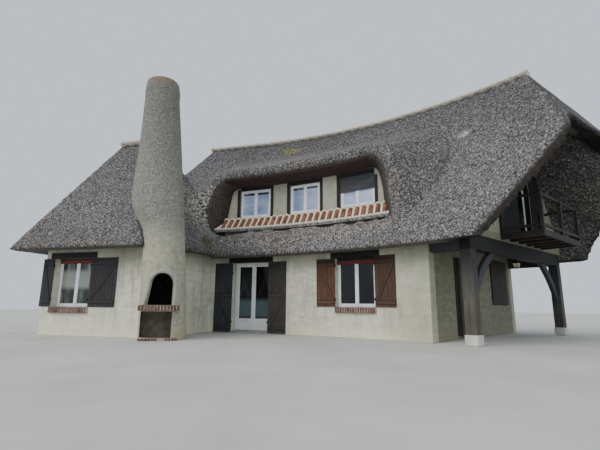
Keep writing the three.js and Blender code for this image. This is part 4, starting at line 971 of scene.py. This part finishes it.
def stained_wood(name, low, high, worn, share=0.5, head=None, fade=0.05, coat_and_shade="2b211e"):
    """Stained timber: streaks between two tones, bare patches of a third, and fine dark splits; where a head
    height is given, the wood above it is darker, fading out below: partly the dark coat that sheltered wood
    has kept, partly painted shade of the eave or roof over it."""
    made, shader, place = finish(name, 0.75)
    marks = in_group(wood, Grain=kept_values(place, "grain"))
    colour = shades(marks["Streak"], (0.35, low), (0.65, high))
    colour = tinted(colour, ramp(marks["Fade"], 0.46, 0.7), share, worn)
    colour = tinted(colour, marks["Split"], 0.6, "0a0908")
    # Darker above the head height: partly the kept coat, partly painted shade from above.
    if head:
        colour = tinted(colour, ramp(on_axis(place, "Z"), head - fade, head + fade), 0.7, coat_and_shade)
    dressed(shader, colour, (marks["Streak"], 0.003, 0.6))
    return made


black_oak = stained_wood("black_oak", "0c0b0b", "181615", "2b2928")
dark_stain = stained_wood("dark_stain", "211c1a", "372f2b", "4b4540")
blue_black = stained_wood("blue_black", "2b2d31", "3f4147", "54575d", 0.4)
grey_stain = stained_wood("grey_stain", "3d3b35", "5a574e", "6f6b60", 0.5, 1.5, 0.45, "24262a")

# Heads of the two lower front windows: a red stained board across the top of the frame, and a black packing
# piece between it and the lintel.
head_red = stained_wood("head_red", "5a2421", "7a3430", "6b3a34", 0.3)
HEAD_GRAIN = np.array([1.0, 0.3, 4.0])
heads = []
packers = []
for opening, r, high, drop in ((FRONT_WINDOW, FRONT_REBATE, FRONT_HEAD, 0.085),
                               (WING_WINDOW, WING_REBATE, WING_HEAD, 0.035)):
    middle = middle_of(opening)
    half = opening[1] / 2 - 0.005
    foot = high - drop
    for boards, z0, z1 in ((heads, foot - 0.10, foot), (packers, foot + 0.002, high - 0.003)):
        board = eased_block(-half, half, -0.024, -0.002, z0, z1, 0.003)
        boards.append(put(board, on_plan(middle, r, 0), heading_turn(middle)))
for name, boards, material, slot in (("window_head_boards", heads, head_red, "red_wood"),
                                     ("window_head_packers", packers, black_oak, "dark_wood")):
    points, faces = together(boards)
    made_piece(name, (points, faces, points * HEAD_GRAIN), material)

# Squared timbers: the lintels and the frame of the porch, sawn from oak with eased edges. The posts stand on
# plinths and carry the plates and the beam, and the braces stiffen them.
DOORWAY = (-2.55, 1.30)


def grain_along(obj, direction):
    """Keeps for each corner how far it lies along a direction and across it, for the grain of the wood."""
    points = read_out(obj.data.vertices, "co", 3)
    direction = np.asarray(direction, float)
    direction = direction / np.linalg.norm(direction)
    side = np.cross(direction, UP) if abs(direction[2]) < 0.9 else np.array([1.0, 0, 0])
    side = side / np.linalg.norm(side)
    axes = np.stack([direction, side, np.cross(direction, side)], 1)
    keep(obj.data, "grain", points @ axes)


door_middle = middle_of(DOORWAY)
porch_turn = heading_turn(UPPER_GABLE_S)
porch_x, porch_y = unit_axes(porch_turn)
for node, material, direction in (
        ("door_lintel", black_oak, headings(door_middle)[0]),
        ("window_lintel", black_oak, headings(window_middle)[0]),
        ("wing_lintel", black_oak, headings(wing_middle)[0]), ("porch_beam", black_oak, porch_y),
        ("front_post", grey_stain, UP), ("rear_post", grey_stain, UP), ("front_plate", blue_black, porch_x),
        ("rear_plate", blue_black, porch_x), ("front_brace", blue_black, porch_y + UP),
        ("rear_brace", blue_black, UP - porch_y)):
    grain_along(eased_copy(node + "_timber", (node,), 0.008, material), direction)

# Shutters: leaves of stained upright planks held by two or three battens and slanting braces that rise from
# the hinge side, with two iron straps on the other face. They hang on pintles and fold back on the wall.
PLANK = 0.115
PLANK_GAP = 0.0008
BATTEN = 0.09
BRACE = 0.075
SHADOW_LINE = 0.014
KNUCKLE_OUT = 0.022
KNUCKLE_AT = 0.15
STRAP_HALF = 0.017
BOLT_HALF = 0.009


def wooden(part, axis, seed):
    """Part with the grain of its wood along axis 0 (x), 1 (y) or 2 (z) of its frame, shifted by a seed."""
    points = np.asarray(part[0], float)
    order = [axis] + [n for n in range(3) if n != axis]
    return points, part[1], points[:, order] + np.array([seed * 3.7, seed * 1.3, seed * 2.1])


def planks(x0, x1, y0, y1, z0, z1, seed, wide=PLANK):
    """Upright planks side by side from x0 to x1, with cut corners that leave a groove between them."""
    count = max(2, round(abs(x1 - x0) / wide))
    edges = np.linspace(min(x0, x1), max(x0, x1), count + 1)
    drops = np.random.default_rng(seed).uniform(0, 0.004, count)
    spans = zip(edges[:-1] + PLANK_GAP, edges[1:] - PLANK_GAP, z0 + drops, z1 - drops / 2)
    return [wooden(eased_block(a, b, y0, y1, low, high, 0.004), 2, seed + n)
            for n, (a, b, low, high) in enumerate(spans)]


def slanting(start, end, wide, y0, y1, seed):
    """Brace in the plane of a leaf, from one (x, z) to another, cut square."""
    start, end = np.array([start[0], 0, start[1]]), np.array([end[0], 0, end[1]])
    along = (end - start) / np.linalg.norm(end - start)
    across = np.array([-along[2], 0, along[0]])
    points, faces = carried(eased(-wide / 2, wide / 2, y0, y1, 0.003), [start, end], across, (0, 1, 0))
    grain = np.stack([points @ along, points[:, 1], points @ across], 1) + seed * 2.9
    return points, faces, grain


def pin(x, y, z0, z1, radius, sides=12):
    """Upright pin with slightly rounded ends: rings of points at rising heights."""
    angle = np.linspace(0, 2 * np.pi, sides, endpoint=False)
    rows = [np.stack([x + radius * k * np.cos(angle), y + radius * k * np.sin(angle), np.full(sides, z)], 1)
            for k, z in ((0.75, z0), (1, z0 + 0.003), (1, z1 - 0.003), (0.75, z1))]
    return np.concatenate(rows), capped(4, sides)


def hinge_heights(low, high):
    """Heights of a leaf's knuckles, a share of its own height in from its foot and its head."""
    inset = KNUCKLE_AT * (high - low)
    return low + inset, high - inset


def hinge_pins(low, high, radius):
    """Knuckles of a leaf."""
    return [pin(0, 0, z - 0.035, z + 0.035, radius) for z in hinge_heights(low, high)]


iron, shader, place = finish("black_iron", 0.6)
rusty = mottle(place, 25, 4, 0.7)
dressed(shader, shades(rusty, (0.4, "131314"), (0.62, "2b2826"), (0.72, "4a3226")), (rusty, 0.001, 0.5))
place.id_data.links.new(shades(rusty, (0.4, 0.7), (0.6, 0.2)), shader.inputs["Metallic"])


def shutter(node, origin, turn, way, wide, low, high, material, seed, battens, face=-1):
    """Leaf hinged at x = 0 and running towards way; its battens and braces are on the side that face gives in
    y, with thin strips of painted shadow laid on the planks beside them, for the dark gaps under their edges."""
    outer = way * wide
    low_x, high_x = sorted((way * 0.002, outer))
    back, shadow_film, front, brace, strap = (sorted((face * a, face * b)) for a, b in (
        (-0.013, 0.004), (0.0032, 0.0049), (0.004, 0.0158), (0.004, 0.0145), (-0.013, -0.0155)))
    parts = planks(low_x, high_x, *back, low, high, seed)
    # Painted shadow: black strips a little wider than each batten and brace lie on the planks under them.
    shadow_lines = []
    for n, z in enumerate(battens):
        up = BATTEN / 2
        parts.append(wooden(eased_block(low_x + 0.02, high_x - 0.02, *front, z - up, z + up), 0, seed + n))
        up += SHADOW_LINE
        shadow_lines.append(wooden(eased_block(low_x + 0.01, high_x - 0.01, *shadow_film, z - up, z + up, 0.0003), 0, seed))
    for n, (z0, z1) in enumerate(zip(battens[:-1], battens[1:])):
        ends = (way * BRACE, z0 + BATTEN / 2 + 0.02), (outer - way * BRACE, z1 - BATTEN / 2 - 0.02)
        parts.append(slanting(*ends, BRACE, *brace, seed + 5 + n))
        shadow_lines.append(slanting(*ends, BRACE + 2 * SHADOW_LINE, *shadow_film, seed + 5 + n))
    straps = hinge_pins(low, high, 0.0212)
    ends = sorted((way * 0.004, outer - way * 0.12))
    for z in hinge_heights(low, high):
        straps.append(eased_block(*ends, *strap, z - STRAP_HALF, z + STRAP_HALF, 0.001))
        for x in way * np.linspace(0.08, wide - 0.2, 4):
            straps.append(eased_block(x - BOLT_HALF, x + BOLT_HALF, strap[0] - 0.0005, strap[1] + 0.0005,
                                      z - BOLT_HALF, z + BOLT_HALF, 0.0005))
    made_piece(node + "_painted_shadow_lines", put(together(shadow_lines), origin, turn), black_oak, node)
    made_piece(node + "_leaf", put(together(parts), origin, turn), material, node, (node,))
    made_piece(node + "_irons", put(together(straps), origin, turn), iron, node)


plum_black = stained_wood("plum_black", "1c1a1c", "2c2a2d", "3e3c40", 0.4)
charcoal = stained_wood("charcoal", "2d2928", "423d3b", "5b5450", 0.4)
red_stain = stained_wood("red_stain", "422a1f", "68432f", "7b5742", 0.4, 2.08)
worn_red = stained_wood("worn_red", "38261d", "573a2b", "69503f", 0.4, 2.08)
for name, opening, r, leaves, low, high, materials, slot, battens in (
        ("door", DOORWAY, 0.0, (0.644, 0.644), 0.011, 2.244, (blue_black, charcoal), "dark_wood",
         (0.17, 1.18, 2.09)),
        ("window", FRONT_WINDOW, 0.0, (0.624, 0.624), 0.841, 2.244, (red_stain, worn_red), "red_wood",
         (0.97, 2.08)),
        ("wing", WING_WINDOW, WING_FACE, (0.40, 0.888), 0.786, 2.164, (plum_black, plum_black), "dark_wood",
         (0.93, 2.02))):
    for side, s, way, leaf, material, seed in (
            ("left", opening[0], -1, leaves[0], materials[0], 11),
            ("right", sum(opening), 1, leaves[1], materials[1], 31)):
        origin = on_plan(s, r - KNUCKLE_OUT, 0)
        turn = heading_turn(s + way * leaf / 2)
        shutter(name + "_shutter_" + side, origin, turn, way, leaf, low, high, material, seed, battens)
gable_turn = heading_turn(GABLE_S) + math.pi / 2
for node, deep, way in (("gable_shutter_front", GABLE_WINDOW[0], 1),
                        ("gable_shutter_rear", sum(GABLE_WINDOW), -1)):
    shutter(node, side_place(GABLE_S, KNUCKLE_OUT, deep, 0), gable_turn, way, 0.722, 0.936, 2.394, dark_stain,
            51, (1.08, 2.25), 1)

# Front door: a white plastic frame on a threshold, with two leaves of tall glass over a panel. They hang on
# small knuckles and open inward.
DOOR_HALF = 0.648
DOOR_STILE = ((0.003, -0.056), (0.060, -0.056), (0.072, -0.044), (0.072, -0.012), (0.062, 0), (0.003, 0),
              (0, -0.003), (0, -0.053))
LEAF_WIDE = 0.594
LEVER_AT = 0.548


def portal(x0, x1, z0, z1, profile):
    """Frame with two jambs and a mitred head, open at its foot."""
    a, b = np.asarray(profile, float).T
    corners = [(x0 + a, z0 + 0 * a), (x0 + a, z1 - a), (x1 - a, z1 - a), (x1 - a, z0 + 0 * a)]
    points = np.stack([np.stack([x, b, z], -1) for x, z in corners])
    return points.reshape(-1, 3), capped(4, len(profile))


door_turn = heading_turn(door_middle)
jambs = put(portal(-DOOR_HALF, DOOR_HALF, 0.0605, 2.249, eased(0, 0.044, 0.001, 0.069, 0.004)),
            on_plan(door_middle, 0.225, 0), door_turn)
made_piece("door_frame_jambs", jambs, white, stands_for=("door_frame",))
for side, way in (("left", 1), ("right", -1)):
    node = "door_leaf_" + side
    x0, x1 = sorted((0.0, way * LEAF_WIDE))
    lever = way * LEVER_AT
    joinery = together([
        mitred(x0, x1, 0.069, 2.198, DOOR_STILE),
        eased_block(x0 + 0.067, x1 - 0.067, -0.0555, -0.0005, 0.365, 0.442, 0.006),
        eased_block(x0 + 0.060, x1 - 0.060, -0.040, -0.016, 0.13, 0.38),
        eased_block(x0 + 0.105, x1 - 0.105, -0.048, -0.008, 0.18, 0.335, 0.012),
        eased_block(lever - 0.016, lever + 0.016, -0.0558, -0.0548, 0.97, 1.16, 0.0005),
        *hinge_pins(0.068, 2.199, 0.0057)])
    sheet = eased_block(x0 + 0.067, x1 - 0.067, -0.034, -0.020, 0.435, 2.131, 0.002)
    origin = on_plan(door_middle, 0.295, 0) - way * 0.597 * unit_axes(door_turn)[0]
    made_piece(node + "_joinery", put(joinery, origin, door_turn), white, node, (node,))
    made_piece(node + "_glass", put(sheet, origin, door_turn), door_glass, node)

# Porch door: upright boards on three ledges behind them, stained dark, with an iron lever on a long plate. It
# hangs on two knuckles in the gable wall and opens inward.
boards = planks(0.0, 0.888, -0.056, -0.020, 0.061, 2.283, 71, 0.14)
for n, z in enumerate((0.25, 1.2, 2.1)):
    boards.append(wooden(eased_block(0.03, 0.858, -0.021, -0.001, z - 0.06, z + 0.06), 0, 80 + n))
origin = side_place(GABLE_S, -0.295, 1.456, 0)
made_piece("porch_door_leaf", put(together(boards), origin, gable_turn), dark_stain, "porch_door",
           ("porch_door",))
furniture = together(hinge_pins(0.05, 2.29, 0.006) + [
    eased_block(0.80, 0.84, -0.0595, -0.0555, 0.98, 1.18, 0.001),
    eased_block(0.72, 0.828, -0.092, -0.080, 1.09, 1.108),
    eased_block(0.812, 0.828, -0.084, -0.057, 1.092, 1.106, 0.003)])
made_piece("porch_door_furniture", put(furniture, origin, gable_turn), iron, "porch_door")

# Dormer band: the frame of stained posts and rails that holds the three windows, and the soffit over it, six
# long boards with grooves between them, stained red and nailed up under the brow.
DORMER_FACE = 0.33
POST_HALF = 0.045
POST_FOOT = 3.80
posts = []
for n, (start, wide) in enumerate(DORMERS):
    for m, x in enumerate((start - 0.085 + POST_HALF, start + wide - 0.005 + POST_HALF)):
        top = 4.955 if 0 < n + m < 3 else 4.72 + 0.16 * (n == 0)
        post = wooden(eased_block(-POST_HALF, POST_HALF, -0.030, 0.02, POST_FOOT, top, 0.005), 2, n * 2 + m)
        posts.append(put(post, on_plan(x, DORMER_FACE, 0), heading_turn(x)))
    middle = start + wide / 2
    half = wide / 2 - 0.002
    for z0, z1 in ((DORMER_HEAD - 0.002, 4.94), (POST_FOOT, DORMER_SILL + 0.002)):
        rail = wooden(eased_block(-half, half, -0.026, 0.02, z0, z1, 0.005), 0, 9 + n)
        posts.append(put(rail, on_plan(middle, DORMER_FACE, 0), heading_turn(middle)))
made_piece("dormer_posts", together(posts), black_oak)

SOFFIT_BOARDS = 6
SOFFIT_STEPS = 28
SOFFIT_SECTION = np.array([[0.0375, 0.013], [0.0375, 0.0], [0.034, -0.004], [-0.034, -0.004], [-0.0375, 0.0],
                           [-0.0375, 0.013]])
dark_red = stained_wood("dark_red", "302423", "483433", "5a4440", 0.4)
soffit = []
for n in range(SOFFIT_BOARDS):
    deep = -0.13 + n * 0.078
    share = (deep + 0.2) / 0.53
    line = np.linspace(-2.98 + 0.32 * share, 2.24 + 0.02 * share, SOFFIT_STEPS)
    z = 5.110 - 0.185 * share + 0.028 * (line + 2.9) / 5.2
    across, thick = SOFFIT_SECTION.T
    section = np.stack([across, thick - 0.35 * across], 1)
    points, faces = carried(section, on_plan(line, deep, z - 0.016), headings(line)[1], UP)
    grain = [np.repeat(line, len(across)), np.tile(across, SOFFIT_STEPS) + n, np.tile(thick, SOFFIT_STEPS)]
    soffit.append((points, faces, np.stack(grain, 1)))
made_piece("dormer_soffit", together(soffit), dark_red)

# Tiled apron below the dormer windows: half-round clay tiles laid down the slope in pale mortar, which also
# fills their ends and the joint with the wall, over a white painted edge strip.
pale_mortar, shader, place = finish("pale_mortar", 0.9)
crumb = mottle(place, 24, 5, 0.7)
pale = shades(crumb, (0.35, "d8ccb0"), (0.6, "f8efd9"))
grimy = shades(crumb, (0.4, "2c2a28"), (0.5, "6b6866"), (0.6, "aba6a0"))
dressed(shader, laid_over(ramp(on_axis(place, "Z"), 3.399, 3.389), pale, grimy), (crumb, 0.01, 0.7))
coated(pale_mortar, "dormer_apron")

fired, shader, place = finish("fired_clay", 0.85)
each = mottle(scaled(place, (4.5, 4.5, 0.5)), 1.0, 1, 0.4)
fleck = mottle(place, 30, 4, 0.7)
colour = shades(each, (0.35, "6c4435"), (0.5, "835442"), (0.65, "9a6751"))
dressed(shader, laid_over(ramp(fleck, 0.5, 0.7), colour, paint("5d4436")), (fleck, 0.004, 0.6))

APRON_TILES = 26
APRON_LEFT = -3.02
TILE_PITCH = 5.74 / (APRON_TILES - 1)
HEAD_PITCH = 5.61 / (APRON_TILES - 1)
TILE_FOOT = (-0.012, 3.444)
TILE_HEAD = (0.325, 3.807)
TILE_TAPER = np.array([0.94, 1.06, 0.86])
tiles = []
fillets = []
for n in range(APRON_TILES):
    foot = np.array([APRON_LEFT + n * TILE_PITCH, *TILE_FOOT])
    head = np.array([APRON_LEFT + n * HEAD_PITCH, *TILE_HEAD])
    places = on_plan(*np.linspace(foot, head, 3).T)
    along = (places[-1] - places[0]) / np.linalg.norm(places[-1] - places[0])
    side = headings(foot[0])[0]
    normal = np.cross(side, along)
    tile = half_round(0.150, 0.070, 0.013, 11)[None] * TILE_TAPER[:, None, None]
    tiles.append(carried(tile, places, side, normal))
    plug = [places[0] + along * 0.02, places[0] + along * 0.05]
    collar = [places[-1] - along * 0.075, places[-1] - along * 0.01]
    fillets.append(carried(half_round(0.126, 0.046, 0.040, 7), plug, side, normal))
    fillets.append(carried(half_round(0.205, 0.086, 0.030, 9), collar, side, normal))
    if n < APRON_TILES - 1:
        between = places + side * TILE_PITCH / 2
        fillets.append(carried(half_round(0.080, 0.036, 0.030, 7), between, side, normal))
made_piece("apron_tiles", together(tiles), fired)
made_piece("apron_mortar", together(fillets), pale_mortar)
line = np.linspace(-3.30, 2.87, 40)
strip = eased(-0.026, 0.006, 0.006, 0.044, 0.008)
strip = carried(strip, on_plan(line, -0.022, 3.405), headings(line)[1], UP)
edge_white, shader, place = finish("edge_paint", 0.6)
worn = mottle(place, 7, 4, 0.7)
dressed(shader, shades(worn, (0.35, "d2cec4"), (0.55, "f3f1ec")), (worn, 0.002, 0.5))
made_piece("apron_edge", strip, edge_white)

# Porch and balcony: plinths of white painted masonry, a boarded ceiling, upright boards on the gable round
# the balcony door, and a balcony of planks with a square-cut rail, all nailed and stained dark.
whitewash, shader, place = finish("whitewash", 0.85)
marks = in_group(weather, Place=place, Top=0.2, Reach=0.5)
colour = tinted(shades(marks["Blotch"], (0.35, "c9c6bd"), (0.6, "e3e1db")), marks["Runs"], 0.5, "8e8b80")
dressed(shader, colour, (marks["Grit"], 0.004, 0.6))
for node in ("front_plinth", "rear_plinth"):
    eased_copy(node + "_block", (node,), 0.012, whitewash)


def boarded(name, parts, material, nodes=()):
    """One piece of boards given in the frame of the porch's side wall: x out of it, y along it, z up."""
    parts = put(together(parts), on_plan(UPPER_GABLE_S, 0, 0), porch_turn)
    made_piece(name, parts, material, stands_for=nodes)


boarded("porch_ceiling", [
    wooden(eased_block(x, x + 0.091, 0.33, 5.97, 2.571, 2.5885, 0.003), 1, 100 + n)
    for n, x in enumerate(-1.05 + np.arange(8) * 0.094)], dark_stain)

GABLE_PITCH = 0.125
GABLE_SLOPE = 1.4045
GABLE_DEEP = 6.3
LINING = 0.022
upright = []
for n in range(26):
    y = 1.80 + n * GABLE_PITCH
    low = BALCONY_DOOR_HEAD + 0.02 if 3.0 < y < sum(BALCONY_DOOR) - 0.01 else 2.78
    high = 2.88 + GABLE_SLOPE * min(y, GABLE_DEEP - y - GABLE_PITCH)
    if high > low + 0.05:
        upright.append(wooden(eased_block(0.001, 0.022, y + 0.001, y + 0.124, low, high), 2, 120 + n))
for y in (BALCONY_DOOR[0] + 0.002, sum(BALCONY_DOOR) - 0.002 - LINING):
    jamb = eased_block(-0.105, 0.024, y, y + LINING, 2.84, BALCONY_DOOR_HEAD - 0.005, 0.003)
    upright.append(wooden(jamb, 2, 145))
boarded("gable_boards", upright, black_oak)

floor = [wooden(eased_block(x, x + 0.113, 1.691, 4.609, 2.728, 2.7595, 0.003), 1, 150 + n)
         for n, x in enumerate(0.002 + np.arange(9) * 0.1164)]
floor += [wooden(eased_block(0.003, 1.0, y, y + 0.09, 2.612, 2.727, 0.005), 0, 170 + n)
          for n, y in enumerate((1.70, 2.28, 2.86, 3.44, 4.02, 4.51))]
floor.append(wooden(eased_block(0.98, 1.0495, 1.691, 4.609, 2.611, 2.727, 0.006), 1, 180))
boarded("balcony_planks", floor, dark_stain, ("balcony_floor",))
grain_along(eased_copy("balcony_handrail", ("balcony_rail",), 0.006, dark_stain), porch_y)

# Lanterns: one with four sides of clouded glass in black iron beside the porch door, on an arm from the wall,
# and a like one hung by a rod under the porch beam.
LANTERN_FOOT = ((0.0, 0.018), (0.012, 0.050), (0.030, 0.055))
LANTERN_PANES = ((0.030, 0.055), (0.150, 0.078))
LANTERN_CAP = ((0.150, 0.078), (0.158, 0.094), (0.215, 0.030), (0.240, 0.008))
BAR_HALF = 0.005
SQUARE = np.array([[-1.0, -1.0], [1.0, -1.0], [1.0, 1.0], [-1.0, 1.0]])


def lantern_ring(steps):
    """Square rings of points about the z axis, half as wide as an outline of (height, half width) says."""
    rings = SQUARE[None] * np.array([half for z, half in steps])[:, None, None]
    return carried(rings, [(0, 0, z) for z, half in steps], (1, 0, 0), (0, 1, 0))


lamp_glass = pane("lamp_glass", [(0.4, "8f8a70"), (0.6, "cfc8a6")], (6, 6, 6))
for name, origin, turn, extra in (
        ("door_lantern", side_place(GABLE_S, 0.13, 2.13, 2.31), gable_turn,
         eased_block(-0.008, 0.008, -0.006, 0.128, 0.170, 0.186, 0.002)),
        ("beam_lantern", side_place(UPPER_GABLE_S, -0.15, 2.95, 1.94), porch_turn,
         pin(0, 0, 0.236, 0.292, 0.006))):
    parts = [lantern_ring(LANTERN_FOOT), lantern_ring(LANTERN_CAP), extra]
    for x, y in SQUARE:
        edge = [(x * half, y * half, z) for z, half in LANTERN_PANES]
        parts.append(carried(SQUARE * BAR_HALF, edge, (1, 0, 0), (0, 1, 0)))
    irons = together(parts)
    panes = put(lantern_ring(LANTERN_PANES), origin, turn)
    made_piece(name + "_glass", panes, lamp_glass, sharp=20)
    made_piece(name + "_irons", put(irons, origin, turn), iron, sharp=20)
